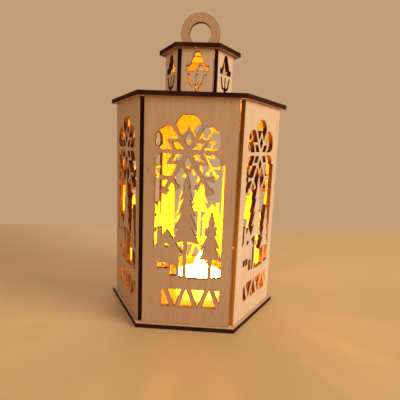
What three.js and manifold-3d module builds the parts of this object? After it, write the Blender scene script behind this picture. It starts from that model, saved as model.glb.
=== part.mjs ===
// A hexagonal Christmas lantern of laser-cut 3 mm plywood, with a battery tea light standing inside.
//
// Six fretwork walls stand on a base plate by tabs in slots. The roof plate sits on the walls' top
// tabs and lifts off with the cupola, its cap and the carrying ring. Millimetres, +Z up, the origin
// under the middle of the base plate, and the front wall faces -Y.
import * as THREE from "three";
import { mergeVertices } from "three/addons/utils/BufferGeometryUtils.js";
import Module from "manifold-3d";

const wasm = await Module();
wasm.setup();

// Sheet and walls
const sheet = 3; // plywood thickness
const sides = 6;
const wallWidth = 60; // across one wall's inner face
const wallHeight = 150;
const cornerGap = 0.5; // between the inner edges of neighbouring walls
const baseOverhang = 2.5; // base plate past the walls' outer faces
const roofOverhang = 3.2;

// Cupola and carrying ring
const cupolaWidth = 22.8;
const cupolaHeight = 33.5;
const capOverhang = 3.75;
const roofLedge = 3.6; // roof plate left between its hole and the cupola walls
const ringRadius = 14.5;
const ringHoleRadius = 8.05;
const ringSink = 1.7; // how much of the ring's circle the cap's top cuts off

// Tabs and slots
const slotClearance = 0.15; // each way, between a tab and its slot
const wallTabWidth = 10;
const wallTabSpacing = 30; // between the two tabs on one edge
const cupolaTabWidth = 8;
const ringTabWidth = 8;

// Picture window of a side wall
const windowMargin = 7.7; // wood left at each side of the window
const windowSill = 31.5; // window's lower edge above the wall's foot
const windowDrop = 41; // window's upper edge below the wall's head

// Snowflake
const flakeDrop = 33.4; // its centre below the wall's head
const flakeShift = -1.7; // its centre from the wall's middle
const flakeArms = 6;
const armWidth = 2.4;
const starSide = 9.1; // side of each of the six diamonds that make the star
const starHoleStart = 3; // centre of the flake to the near point of a diamond's hole
const starHoleSide = 5.1;
const lobeShoulder = 17.3; // along the lobe's middle line to its widest place
const lobeShoulderHalf = 8.4;
const lobeReach = 22.9;
const lobeEndHalf = 4.4;
const upperLobeCuts = [0, 0.7, 1.3, 1.3, 0.7]; // off both edges at each corner, round from its root
const sideLobeCuts = [0, 2.2, 3, 2.5, 0]; // rounder towards the level arm
const longArm = 31; // the two arms that hang into the window
const armTipWidth = 5;
const armTipLength = 3.6;
const barbStart = 19.5;
const barbLength = 8;
const barbWidth = 2;
const barbTipWidth = 3.2;
const barbTipLength = 2.4;

// Winter scene in the window
const hillRise = 3.5; // ground above the sill at the walls
const hillDip = 1.2; // and at its lowest place
const firTrunkWidth = 2.6;
const tallFirTrunk = 24;
const tallFirHalf = 9.4;
const tallFirTiers = 5;
const sideFirInset = 7.2; // its trunk from the window's right edge
const sideFirTrunk = 13;
const sideFirHeight = 46;
const sideFirHalf = 7.6;
const sideFirTiers = 4;
const cottageInset = 8.3; // its middle from the window's left edge
const cottageWidth = 17.4;
const cottageWallHeight = 17.5;
const cottageRoofHeight = 16;
const cottageEaves = 1.8;
const chimneyWidth = 3.2;
const chimneyHeight = 17; // its top above the eaves
const chimneyShift = 4.8; // its middle from the cottage's
const atticRadius = 1.5;
const doorWidth = 3.8;
const doorHeight = 9.5;
const doorInset = 1.8; // from the cottage's right-hand corner
const paneWidth = 3;
const paneHeight = 4.2;
const paneBar = 1; // between the two panes

// Band of triangles
const bandFoot = 12.7;
const bandHead = 25.2;
const bandLeft = -16.6;
const bandRight = 22.3;
const trianglePitch = 15.6; // between triangles that point the same way
const triangleBase = 9.5;

// Street-lamp cut-out of a cupola wall, heights below the cupola wall's head
const lampTop = 1.75;
const lampDomeHalf = 2.5;
const lampDomeFoot = 4.5; // where the dome meets the roof's slope
const lampRoofFoot = 11.3;
const lampRoofFootHalf = 5.5;
const lampBrimHalf = 7.8;
const lampBrimFoot = 15;
const lampBar = 1.9; // wood left between the brim and the panes
const lampPaneTopHalf = 5.4;
const lampPaneFootHalf = 3;
const lampPaneFoot = 24.3;
const lampPaneEase = 1; // cut off a pane's lower outer corner
const lampSlot = 1.3; // round the panes
const lampPostHalf = 1.2; // middle slot at the panes' foot
const lampCupHalf = 1.8; // half the width where the side slots run into the post
const lampNeck = 27.2;
const lampNeckHalf = 1.1;
const lampPostFoot = 31.3;
const lampPostFootHalf = 0.5;

// Tea light
const lightShiftX = 6; // it stands loose, a little off the middle
const lightShiftY = 0;
const lightRadius = 18.5;
const lightDraft = 0.4; // the housing's top is this much slimmer
const lightHeight = 17.5;
const housingWall = 1.2;
const housingRim = 1.6; // width of the rounded rim round the dished top
const dishDepth = 2.2;
const flameHoleRadius = 4.7;
const flameHeight = 35.5; // tip above the tea light's foot
const flameNeckRadius = 4.4;
const flameBellyRadius = 5.2;
const flameFlangeRadius = 6.4;
const flameFlangeThickness = 0.9;
const flameBoreRadius = 2.9;
const flameBoreDepth = 11;
const flameLean = 1.2; // the tip leans this far
const fitGap = 0.3; // between pieces of the tea light that rest on each other
const touchGap = 0.1; // between a contact strip and what it presses on
const floorThickness = 1.7;
const floorClearance = 0.2; // base moulding inside the housing
const latheSteps = 40;

// Battery bay, switch and LED
const cellRadius = 10;
const cellThickness = 3.2;
const cellEdge = 0.5; // step between the cell's can and its cap
const bayShiftY = 4.2;
const bayClearance = 0.4;
const bayWall = 1.1;
const doorThickness = 1.2;
const doorLip = 0.8; // the door past the bay's bore, on the ledge
const doorGap = 0.15;
const doorEarWidth = 5.2;
const screwShift = 13.2; // screw from the bay's middle
const screwHeadRadius = 1.7;
const screwHeadHeight = 0.8;
const screwShankRadius = 0.9;
const screwLength = 4.4;
const screwBossRadius = 2.1;
const driverSlotWidth = 0.5;
const driverSlotDepth = 0.4;
const stripThickness = 0.4;
const stripWidth = 3;
const ledRadius = 2.5;
const ledDomeTop = 22.5; // above the tea light's foot
const ledBodyLength = 6.2;
const ledRimRadius = 2.8;
const ledRimThickness = 1;
const leadPitch = 2.54;
const leadWidth = 0.5;
const switchShiftY = -12.4;
const switchLength = 8.6;
const switchWidth = 3.7;
const switchHeight = 3.4;
const switchWall = 0.6;
const switchTravel = 2;
const knobLength = 2;
const knobWidth = 1.6;
const knobRecess = 0.4; // the knob's end stays this far inside the foot
const sliderThickness = 1;

// Places worked out from those sizes
const innerApothem = (wallWidth / 2) * Math.sqrt(3);
const outerApothem = innerApothem + sheet;
const cupolaApothem = (cupolaWidth / 2) * Math.sqrt(3);
const roofZ = sheet + wallHeight;
const cupolaZ = roofZ + sheet;
const capZ = cupolaZ + cupolaHeight;
const capTopZ = capZ + sheet;
const cutPast = 1; // how far a cutter runs past each face
const bezierCrest = 0.75; // share of its handles' height that a symmetric curve reaches
const windowLeft = windowMargin - wallWidth / 2;
const windowRight = wallWidth / 2 - windowMargin;
const windowHead = wallHeight - windowDrop;
const flakeY = wallHeight - flakeDrop;

// Materials
const finish = (color, roughness, metalness = 0) =>
  new THREE.MeshStandardMaterial({ color, roughness, metalness });
const plywood = finish(0xd8b088, 0.72);
const palePlastic = finish(0xf4f1ea, 0.45);
const flamePlastic = finish(0xffe9b0, 0.35);
const ledLens = finish(0xffd890, 0.2);
const cellSteel = finish(0xc4c6c8, 0.3, 0.9);
const springSteel = finish(0xb9babc, 0.35, 0.9);
const switchBlack = finish(0x26262a, 0.5);

// A closed three.js geometry as a solid that can be joined and cut.
function solidOf(geometry) {
  const bare = new THREE.BufferGeometry();
  bare.setAttribute("position", geometry.getAttribute("position"));
  bare.setIndex(geometry.index);
  const merged = mergeVertices(bare, 1e-4);
  const corners = [];
  for (let i = 0; i < merged.index.count; i += 3) {
    const [a, b, c] = [0, 1, 2].map((k) => merged.index.getX(i + k));
    if (a !== b && b !== c && c !== a) corners.push(a, b, c);
  }
  return new wasm.Manifold(
    new wasm.Mesh({
      numProp: 3,
      vertProperties: merged.attributes.position.array,
      triVerts: new Uint32Array(corners),
    }),
  );
}

// A solid as a three.js geometry.
function geometryOf(solid) {
  const { numProp, vertProperties, triVerts } = solid.getMesh();
  const positions = new Float32Array((vertProperties.length / numProp) * 3);
  for (let i = 0; i * numProp < vertProperties.length; i++) {
    positions.set(vertProperties.subarray(i * numProp, i * numProp + 3), i * 3);
  }
  const indexed = new THREE.BufferGeometry();
  indexed.setAttribute("position", new THREE.BufferAttribute(positions, 3));
  indexed.setIndex(new THREE.BufferAttribute(triVerts, 1));
  const geometry = indexed.toNonIndexed();
  geometry.computeVertexNormals();
  return geometry;
}

const joined = (solids) => solids.reduce((sum, next) => sum.add(next));

// An outline drawn flat and pulled up from one height to another.
function pulled(shape, from, to, curveSegments = 12) {
  const geometry = new THREE.ExtrudeGeometry(shape, {
    depth: to - from,
    bevelEnabled: false,
    curveSegments,
  });
  return solidOf(geometry.translate(0, 0, from));
}

const outline = (points) => new THREE.Shape(points.map(([x, y]) => new THREE.Vector2(x, y)));
const sheetOf = (points) => pulled(outline(points), 0, sheet);
const cutter = (points) => pulled(outline(points), -cutPast, sheet + cutPast);
const box = (x, y, z, cx, cy, z0) =>
  solidOf(new THREE.BoxGeometry(x, y, z).translate(cx, cy, z0 + z / 2));
const rod = (radius, from, to, x = 0, y = 0, steps = 24) =>
  solidOf(
    new THREE.CylinderGeometry(radius, radius, to - from, steps)
      .rotateX(Math.PI / 2)
      .translate(x, y, (from + to) / 2),
  );

// A profile of [radius, height] turned round the upright axis. One that starts off the axis closes
// on itself.
function turnedGeometry(profile, steps) {
  const points = profile.map(([r, h]) => new THREE.Vector2(r, h));
  if (profile[0][0] > 0) points.push(points[0]);
  return new THREE.LatheGeometry(points, steps).rotateX(Math.PI / 2);
}

const turned = (profile, steps = latheSteps) => solidOf(turnedGeometry(profile, steps));

const rectangle = (left, foot, right, head) => [
  [left, foot],
  [right, foot],
  [right, head],
  [left, head],
];

const centred = (x, width, foot, head) => rectangle(x - width / 2, foot, x + width / 2, head);

// Points given across and along a line that leaves a centre at an angle.
const alongLine = (points, [cx, cy], angle) =>
  points.map(([across, along]) => [
    cx + along * Math.cos(angle) - across * Math.sin(angle),
    cy + along * Math.sin(angle) + across * Math.cos(angle),
  ]);
const degrees = THREE.MathUtils.degToRad;
const mirrored = (half) => [...half, ...half.map(([x, y]) => [-x, y]).reverse()];

// A closed run of points with corners cut off, given how much of both edges each corner loses.
function eased(points, cuts) {
  const towards = ([x, y], [tx, ty], length) => {
    const share = length / Math.hypot(tx - x, ty - y);
    return [x + (tx - x) * share, y + (ty - y) * share];
  };
  return points.flatMap((point, i) =>
    cuts[i]
      ? [points.at(i - 1), points[(i + 1) % points.length]].map((next) => towards(point, next, cuts[i]))
      : [point],
  );
}

// Hexagon with a flat towards -Y.
const hexagon = (apothem) =>
  Array.from({ length: sides }, (_, k) => {
    const radius = apothem / Math.cos(Math.PI / sides);
    const angle = (2 * Math.PI * k) / sides;
    return [radius * Math.cos(angle), radius * Math.sin(angle)];
  });

// Slots in a plate for tabs on all six sides, at the given offsets from each wall's middle.
function sideSlots(apothem, tabWidth, offsets) {
  const half = tabWidth / 2 + slotClearance;
  const near = apothem - slotClearance;
  const far = apothem + sheet + slotClearance;
  return joined(
    Array.from({ length: sides }, (_, k) => (2 * Math.PI * k) / sides - Math.PI / 2).flatMap((angle) =>
      offsets.map((offset) =>
        cutter(alongLine(rectangle(offset - half, near, offset + half, far), [0, 0], angle)),
      ),
    ),
  );
}

// A wall's outline with tabs past its head and foot.
function tabbedWall(width, height, tabWidth, offsets) {
  const half = width / 2 - cornerGap / 2;
  const wall = sheetOf(rectangle(-half, 0, half, height));
  const tabs = offsets.map((offset) =>
    sheetOf(rectangle(offset - tabWidth / 2, -sheet, offset + tabWidth / 2, height + sheet)),
  );
  return joined([wall, ...tabs]);
}

const wallTabOffsets = [-wallTabSpacing / 2, wallTabSpacing / 2];

// Snowflake

const flakeCentre = [flakeShift, flakeY];
const diamond = (start, side) =>
  mirrored([
    [0, start],
    [side * Math.sin(Math.PI / 6), start + side * Math.cos(Math.PI / 6)],
    [0, start + 2 * side * Math.cos(Math.PI / 6)],
  ]).filter(([x], i, all) => x !== 0 || i < all.length / 2);
const flakeAngles = Array.from({ length: flakeArms }, (_, k) => (2 * Math.PI * k) / flakeArms);
const flakeBetween = flakeAngles.map((angle) => angle + Math.PI / flakeArms);
const hangs = (angle) => Math.sin(angle) < -0.5;

// The opening between two arms.
function lobe(angle) {
  const side = Math.sin(2 * angle) > 0 ? -1 : 1; // towards the level arm
  const corners = [
    [0, 0],
    [side * lobeShoulderHalf, lobeShoulder],
    [side * lobeEndHalf, lobeReach],
    [-side * lobeEndHalf, lobeReach],
    [-side * lobeShoulderHalf, lobeShoulder],
  ];
  const upright = Math.abs(Math.cos(angle)) < 0.5;
  return cutter(alongLine(eased(corners, upright ? upperLobeCuts : sideLobeCuts), flakeCentre, angle));
}

const flakeOpenings = () => flakeBetween.filter((angle) => Math.sin(angle) > -0.9).map(lobe);

function hangingArm(angle) {
  const tip = rectangle(-armTipWidth / 2, longArm - armTipLength, armTipWidth / 2, longArm);
  const root = alongLine([[0, barbStart]], flakeCentre, angle)[0];
  const barb = rectangle(-barbWidth / 2, 0, barbWidth / 2, barbLength);
  const barbTip = rectangle(-barbTipWidth / 2, barbLength - barbTipLength, barbTipWidth / 2, barbLength);
  return [
    cutter(alongLine(tip, flakeCentre, angle)),
    ...[-1, 1].flatMap((side) =>
      [barb, barbTip].map((part) => cutter(alongLine(part, root, angle + (side * Math.PI) / 3))),
    ),
  ];
}

function flakeWood() {
  const star = flakeBetween.map((angle) => cutter(alongLine(diamond(0, starSide), flakeCentre, angle)));
  const arms = flakeAngles.map((angle) => {
    const reach = hangs(angle) ? longArm : lobeReach;
    return cutter(alongLine(rectangle(-armWidth / 2, 0, armWidth / 2, reach), flakeCentre, angle));
  });
  return [...star, ...arms, ...flakeAngles.filter(hangs).flatMap(hangingArm)];
}

const flakeHoles = () =>
  flakeBetween.map((angle) => cutter(alongLine(diamond(starHoleStart, starHoleSide), flakeCentre, angle)));

// Winter scene: snowy ground, a cottage, a tall fir up to the snowflake and a smaller fir

const groundY = windowSill + hillDip;

function hill() {
  const past = windowMargin / 2;
  const [left, right] = [windowLeft - past, windowRight + past];
  const shape = new THREE.Shape();
  shape.moveTo(left, windowSill - past);
  shape.lineTo(right, windowSill - past);
  shape.lineTo(right, windowSill + hillRise);
  shape.bezierCurveTo(right / 2, groundY, right / 3, groundY, 0, groundY + hillDip / 2);
  const bankY = windowSill + hillRise;
  shape.bezierCurveTo(left / 3, groundY + hillDip, left / 2, bankY, left, bankY);
  return pulled(shape, -cutPast, sheet + cutPast, 6);
}

// Fir from the ground to its tip, its tiers widening downwards over a bare trunk.
function fir(x, foot, trunk, tip, half, tiers) {
  const lowest = foot + trunk;
  const step = (tip - lowest) / tiers;
  const side = [[0, tip]];
  for (let tier = 1; tier <= tiers; tier++) {
    const width = (half * (tier + 0.6)) / (tiers + 0.6);
    const y = tip - tier * step;
    side.push([width, y]);
    side.push([tier < tiers ? width * 0.5 : firTrunkWidth / 2, y + step * 0.18]);
  }
  side.push([firTrunkWidth / 2, foot - hillRise]);
  const points = mirrored(side).slice(0, -1);
  return cutter(points.map(([across, y]) => [x + across, y]));
}

function tallFir() {
  const tip = flakeY - 2 * starSide * Math.cos(Math.PI / 6) + armWidth;
  return fir(flakeShift, groundY, tallFirTrunk, tip, tallFirHalf, tallFirTiers);
}

function sideFir() {
  const tip = groundY + sideFirHeight;
  return fir(windowRight - sideFirInset, groundY, sideFirTrunk, tip, sideFirHalf, sideFirTiers);
}

const cottageX = windowLeft + cottageInset;

const eavesY = groundY + cottageWallHeight;

function cottageWood() {
  const half = cottageWidth / 2;
  const chimneyX = cottageX - chimneyShift;
  return [
    cutter(rectangle(cottageX - half, windowSill - cutPast, cottageX + half, eavesY + cutPast)),
    cutter([
      [cottageX - half - cottageEaves, eavesY],
      [cottageX + half + cottageEaves, eavesY],
      [cottageX, eavesY + cottageRoofHeight],
    ]),
    cutter(centred(chimneyX, chimneyWidth, eavesY, eavesY + chimneyHeight)),
  ];
}

// Arched door, two panes and a round attic light
function cottageHoles() {
  const doorX = cottageX + cottageWidth / 2 - doorInset - doorWidth / 2;
  const springY = groundY + doorHeight - doorWidth / 2;
  const door = new THREE.Shape();
  door.moveTo(doorX - doorWidth / 2, groundY + hillRise / 2);
  door.lineTo(doorX + doorWidth / 2, groundY + hillRise / 2);
  door.absarc(doorX, springY, doorWidth / 2, 0, Math.PI, false);
  const attic = new THREE.Shape();
  attic.absarc(cottageX, eavesY + cottageRoofHeight / 3, atticRadius, 0, 2 * Math.PI, false);
  const paneFoot = groundY + (cottageWallHeight - paneHeight) / 2;
  const paneRight = doorX - doorWidth / 2 - doorInset;
  const panes = [paneRight, paneRight - paneWidth - paneBar].map((right) =>
    cutter(rectangle(right - paneWidth, paneFoot, right, paneFoot + paneHeight)),
  );
  return [...[door, attic].map((shape) => pulled(shape, -cutPast, sheet + cutPast, 6)), ...panes];
}

// Band of triangles that point up and down in turn, cut off square at its ends

function bandOpenings() {
  const band = cutter(rectangle(bandLeft, bandFoot - cutPast, bandRight, bandHead + cutPast));
  const half = triangleBase / 2;
  const first = Math.floor(bandLeft / trianglePitch);
  const last = Math.ceil(bandRight / trianglePitch);
  const openings = [];
  for (let k = first; k <= last; k++) {
    const up = k * trianglePitch;
    const down = up + trianglePitch / 2;
    const triangles = [
      [[up - half, bandFoot], [up + half, bandFoot], [up, bandHead]],
      [[down, bandFoot], [down + half, bandHead], [down - half, bandHead]],
    ];
    for (const corners of triangles) {
      const opening = cutter(corners).intersect(band);
      if (!opening.isEmpty()) openings.push(opening);
    }
  }
  return openings;
}

function wallSolid() {
  const picture = cutter(rectangle(windowLeft, windowSill, windowRight, windowHead));
  const wood = joined([...flakeWood(), hill(), tallFir(), sideFir(), ...cottageWood()]);
  const openings = joined([picture, ...flakeOpenings()]).subtract(wood);
  return tabbedWall(wallWidth, wallHeight, wallTabWidth, wallTabOffsets)
    .subtract(openings)
    .subtract(joined([...flakeHoles(), ...cottageHoles(), ...bandOpenings()]));
}

// Street lamp: a domed roof with its brim, and below it a fork of slots round the two panes
function lampOpenings() {
  const head = (drop) => cupolaHeight - drop;
  const crown = head(lampDomeFoot) + (lampDomeFoot - lampTop) / bezierCrest;
  const roof = new THREE.Shape();
  roof.moveTo(-lampBrimHalf, head(lampBrimFoot));
  roof.lineTo(lampBrimHalf, head(lampBrimFoot));
  roof.lineTo(lampBrimHalf, head(lampRoofFoot));
  roof.lineTo(lampRoofFootHalf, head(lampRoofFoot));
  roof.lineTo(lampDomeHalf, head(lampDomeFoot));
  roof.bezierCurveTo(lampDomeHalf, crown, -lampDomeHalf, crown, -lampDomeHalf, head(lampDomeFoot));
  roof.lineTo(-lampRoofFootHalf, head(lampRoofFoot));
  roof.lineTo(-lampBrimHalf, head(lampRoofFoot));

  const paneHead = head(lampBrimFoot) - lampBar;
  const paneFoot = head(lampPaneFoot);
  const fork = eased(
    [
      [lampPaneTopHalf + lampSlot, paneHead],
      [lampPaneFootHalf + lampSlot, paneFoot - lampSlot],
      [lampCupHalf, paneFoot - lampSlot],
      [lampNeckHalf, head(lampNeck)],
      [lampPostFootHalf, head(lampPostFoot)],
    ],
    [0, lampPaneEase],
  );
  const pane = (side) =>
    eased(
      [
        [lampSlot / 2, paneHead + lampBar / 2],
        [lampPaneTopHalf, paneHead + lampBar / 2],
        [lampPaneFootHalf, paneFoot],
        [lampPostHalf, paneFoot],
        [lampSlot / 2, paneFoot + lampSlot],
      ],
      [0, 0, lampPaneEase],
    ).map(([x, y]) => [side * x, y]);
  return joined([
    pulled(roof, -cutPast, sheet + cutPast, 8),
    cutter(mirrored(fork)).subtract(joined([cutter(pane(1)), cutter(pane(-1))])),
  ]);
}

const cupolaWallSolid = () =>
  tabbedWall(cupolaWidth, cupolaHeight, cupolaTabWidth, [0]).subtract(lampOpenings());

// Plates

const wallSlots = () => sideSlots(innerApothem, wallTabWidth, wallTabOffsets);
const cupolaSlots = () => sideSlots(cupolaApothem, cupolaTabWidth, [0]);

const basePlate = () => sheetOf(hexagon(outerApothem + baseOverhang)).subtract(wallSlots());

const roofPlate = () =>
  sheetOf(hexagon(outerApothem + roofOverhang))
    .subtract(cutter(hexagon(cupolaApothem - roofLedge)))
    .subtract(wallSlots())
    .subtract(cupolaSlots());

function capPlate() {
  const half = ringTabWidth / 2 + slotClearance;
  const deep = sheet / 2 + slotClearance;
  return sheetOf(hexagon(cupolaApothem + sheet + capOverhang))
    .subtract(cupolaSlots())
    .subtract(cutter(rectangle(-half, -deep, half, deep)));
}

// The ring stands on a flat of its own rim, with a tab through the cap.
function ringSolid() {
  const centreY = ringRadius - ringSink;
  const start = -Math.asin(centreY / ringRadius);
  const rim = new THREE.Shape();
  rim.moveTo(-ringTabWidth / 2, -sheet);
  rim.lineTo(ringTabWidth / 2, -sheet);
  rim.lineTo(ringTabWidth / 2, 0);
  rim.absarc(0, centreY, ringRadius, start, Math.PI - start, false);
  rim.lineTo(-ringTabWidth / 2, 0);
  const eye = new THREE.Path();
  eye.absarc(0, centreY, ringHoleRadius, 0, 2 * Math.PI, true);
  rim.holes.push(eye);
  return pulled(rim, 0, sheet, 28);
}

// Tea light, drawn with its foot at height 0

const housingTop = lightRadius - lightDraft;
const dishEdge = lightHeight - dishDepth;
const skinZ = dishEdge - housingWall; // underside of the dished top, where the flame's flange rests
const bayRadius = cellRadius + bayClearance;
const baySeat = doorThickness + doorGap;
const cellFoot = baySeat + touchGap;
const cellTop = cellFoot + cellThickness;
const bayHead = cellTop + touchGap / 2;
const floorRadius = lightRadius - lightDraft / 2 - housingWall - floorClearance;

function housing() {
  const inside = housingWall;
  return turned([
    [lightRadius, 0],
    [housingTop, lightHeight - housingRim / 2],
    [housingTop - housingRim * 0.15, lightHeight - housingRim * 0.15],
    [housingTop - housingRim / 2, lightHeight],
    [housingTop - housingRim * 0.85, lightHeight - housingRim * 0.15],
    [housingTop - housingRim, lightHeight - housingRim / 2],
    [housingTop - housingRim * 1.6, dishEdge + dishDepth * 0.3],
    [housingTop - housingRim * 3, dishEdge],
    [flameHoleRadius, dishEdge],
    [flameHoleRadius, skinZ],
    [housingTop - inside, skinZ],
    [lightRadius - inside, 0],
  ]);
}

// Hollow teardrop with a flange under the dished top and a bore from below for the LED.
function flame() {
  const flangeTop = skinZ - touchGap;
  const flangeFoot = flangeTop - flameFlangeThickness;
  const belly = dishEdge + (flameHeight - dishEdge) * 0.3;
  const rise = flameHeight - belly;
  const boreTop = flangeFoot + flameBoreDepth;
  const drop = [0.16, 0.34, 0.52, 0.7, 0.86, 0.95].map((share) => [
    flameBellyRadius * Math.cos((share * Math.PI) / 2) ** 0.85 * (1 - 0.25 * share),
    belly + rise * share,
  ]);
  const profile = [
    [flameBoreRadius, flangeFoot],
    [flameFlangeRadius, flangeFoot],
    [flameFlangeRadius, flangeTop],
    [flameNeckRadius, flangeTop],
    [flameNeckRadius, dishEdge + 0.6],
    [flameBellyRadius, belly],
    ...drop,
    [0, flameHeight],
    [0, boreTop],
    [flameBoreRadius * 0.8, boreTop - flameBoreRadius * 0.6],
    [flameBoreRadius, boreTop - flameBoreRadius * 1.5],
  ];
  const geometry = turnedGeometry(profile, 28);
  const place = geometry.getAttribute("position");
  for (let i = 0; i < place.count; i++) {
    const share = Math.max(0, (place.getZ(i) - boreTop) / (flameHeight - boreTop));
    place.setX(i, place.getX(i) + flameLean * share * share);
  }
  return solidOf(geometry);
}

const screwRod = (radius, from, to, steps) => rod(radius, from, to, -screwShift, bayShiftY, steps);
const bayRod = (radius, from, to) => rod(radius, from, to, 0, bayShiftY, 36);

function doorOutline(grow) {
  const half = doorEarWidth / 2 + grow;
  const head = doorThickness + grow;
  return joined([
    bayRod(bayRadius + doorLip + grow, 0, head),
    box(screwShift, 2 * half, head, -screwShift / 2, bayShiftY, 0),
    screwRod(half, 0, head, 20),
  ]);
}

// Base moulding: floor, battery bay wall, screw boss, and the slot for the switch's knob.
function lightBase() {
  const floor = rod(floorRadius, 0, floorThickness, 0, 0, latheSteps);
  const bay = bayRod(bayRadius + bayWall, floorThickness / 2, bayHead);
  const boss = screwRod(screwBossRadius, doorThickness, doorThickness + screwLength, 20);
  const bore = bayRod(bayRadius, -cutPast, bayHead + cutPast);
  const recess = doorOutline(doorGap).translate(0, 0, -doorGap).add(doorOutline(doorGap));
  const screwHole = screwRod(screwShankRadius + touchGap, 0, screwLength + screwHeadHeight, 12);
  const knobRoom = knobLength + switchTravel + 2 * fitGap;
  const knobAcross = knobWidth + 2 * fitGap;
  const knobDepth = floorThickness + 2 * cutPast;
  const knobSlot = box(knobRoom, knobAcross, knobDepth, -switchTravel / 2, switchShiftY, -cutPast);
  const notchWidth = stripWidth + 2 * touchGap;
  const notch = box(bayWall * 4, notchWidth, bayHead, bayRadius + bayWall, bayShiftY, baySeat);
  return joined([floor, bay, boss]).subtract(joined([bore, recess, screwHole, knobSlot, notch]));
}

function batteryDoor() {
  const hole = screwRod(screwShankRadius + touchGap, -cutPast, doorThickness + cutPast, 12);
  const sink = screwRod(screwHeadRadius + touchGap, -cutPast, screwHeadHeight + touchGap, 20);
  return doorOutline(0).subtract(hole).subtract(sink);
}

function doorScrew() {
  const head = screwRod(screwHeadRadius, 0, screwHeadHeight, 20);
  const shank = screwRod(screwShankRadius, screwHeadHeight / 2, screwLength, 12);
  const across = 2 * screwHeadRadius + cutPast;
  const deep = 2 * driverSlotDepth;
  const slot = box(across, driverSlotWidth, deep, -screwShift, bayShiftY, -driverSlotDepth);
  return head.add(shank).subtract(slot);
}

function coinCell() {
  const can = bayRod(cellRadius, cellFoot, cellTop - cellEdge);
  return can.add(bayRod(cellRadius - 2 * cellEdge, cellTop - 2 * cellEdge, cellTop));
}

// Strip along the bay's head, from its wall over the middle of the cell.
function negativeStrip() {
  const start = bayShiftY - bayRadius - bayWall;
  const end = bayShiftY + cellRadius / 3;
  const foot = cellTop + touchGap;
  return box(stripWidth, end - start, stripThickness, -leadPitch / 2, (start + end) / 2, foot);
}

// Strip down between the cell's edge and the bay's wall, with a foot over the wall's head.
function positiveStrip() {
  const inner = cellRadius + touchGap;
  const foot = cellTop + touchGap;
  const height = foot + stripThickness - floorThickness;
  const legX = inner + stripThickness / 2;
  const leg = box(stripThickness, stripWidth, height, legX, bayShiftY, floorThickness);
  const shelf = box(bayWall * 2, stripWidth, stripThickness, inner + bayWall, bayShiftY, foot);
  return leg.add(shelf);
}

// Round-topped LED with a rim, one lead down to the negative strip and one over to the switch.
function led() {
  const bodyFoot = ledDomeTop - ledRadius - ledBodyLength;
  const domeFoot = ledDomeTop - ledRadius;
  const dome = [30, 60].map((angle) => [
    ledRadius * Math.cos(degrees(angle)),
    domeFoot + ledRadius * Math.sin(degrees(angle)),
  ]);
  const lens = turned(
    [
      [0, bodyFoot - ledRimThickness],
      [ledRimRadius, bodyFoot - ledRimThickness],
      [ledRimRadius, bodyFoot],
      [ledRadius, bodyFoot],
      [ledRadius, domeFoot],
      ...dome,
      [0, ledDomeTop],
    ],
    24,
  );
  const top = bodyFoot - ledRimThickness / 2;
  const stripHead = cellTop + 2 * touchGap + stripThickness;
  const bendZ = floorThickness + switchHeight + 3 * fitGap;
  const short = box(leadWidth, leadWidth, top - stripHead, -leadPitch / 2, 0, stripHead);
  const long = box(leadWidth, leadWidth, top - bendZ, leadPitch / 2, 0, bendZ);
  const reach = leadWidth - switchShiftY;
  const across = box(leadWidth, reach, leadWidth, leadPitch / 2, switchShiftY / 2, bendZ);
  return joined([lens, short, long, across]);
}

// The switch's case is open below, where its slider runs.
function switchCase() {
  const foot = floorThickness + touchGap;
  const shell = box(switchLength, switchWidth, switchHeight, 0, switchShiftY, foot);
  const length = switchLength - 2 * switchWall;
  const width = switchWidth - 2 * switchWall;
  const depth = switchHeight - switchWall + cutPast;
  return shell.subtract(box(length, width, depth, 0, switchShiftY, foot - cutPast));
}

function switchSlider() {
  const foot = floorThickness + touchGap + fitGap;
  const carriageLength = switchLength - 2 * switchWall - switchTravel - 2 * fitGap;
  const carriage = box(
    carriageLength,
    switchWidth - 2 * switchWall - 2 * fitGap,
    sliderThickness,
    switchTravel / 2,
    switchShiftY,
    foot,
  );
  const knob = box(knobLength, knobWidth, foot + sliderThickness - knobRecess, 0, switchShiftY, knobRecess);
  return carriage.add(knob);
}

// Assembly

function piece(name, solid, material) {
  const mesh = new THREE.Mesh(geometryOf(solid), material.clone());
  mesh.name = name;
  return mesh;
}

// Stands a wall drawn flat upright, its outer face towards -Y at the given distance.
function upright(mesh, apothem, z) {
  mesh.rotation.x = Math.PI / 2;
  mesh.position.set(0, -apothem, z);
  return mesh;
}

const sideNames = ["front", "front_right", "back_right", "back", "back_left", "front_left"];

// Six like walls round the lantern's axis.
function wallRing(prefix, solid, apothem, z) {
  const ring = new THREE.Group();
  sideNames.forEach((side, k) => {
    const turn = new THREE.Group();
    turn.rotation.z = (2 * Math.PI * k) / sides;
    turn.add(upright(piece(prefix + side, solid, plywood), apothem, z));
    ring.add(turn);
  });
  return ring;
}

function flat(name, solid, z) {
  const mesh = piece(name, solid, plywood);
  mesh.position.z = z;
  return mesh;
}

function teaLight() {
  const light = new THREE.Group();
  light.position.set(lightShiftX, lightShiftY, sheet);
  light.add(
    piece("tealight_housing", housing(), palePlastic),
    piece("tealight_flame", flame(), flamePlastic),
    piece("tealight_base", lightBase(), palePlastic),
    piece("battery_door", batteryDoor(), palePlastic),
    piece("battery_door_screw", doorScrew(), springSteel),
    piece("coin_cell", coinCell(), cellSteel),
    piece("contact_negative", negativeStrip(), springSteel),
    piece("contact_positive", positiveStrip(), springSteel),
    piece("led", led(), ledLens),
    piece("switch_case", switchCase(), springSteel),
    piece("switch_slider", switchSlider(), switchBlack),
  );
  return light;
}

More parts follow.
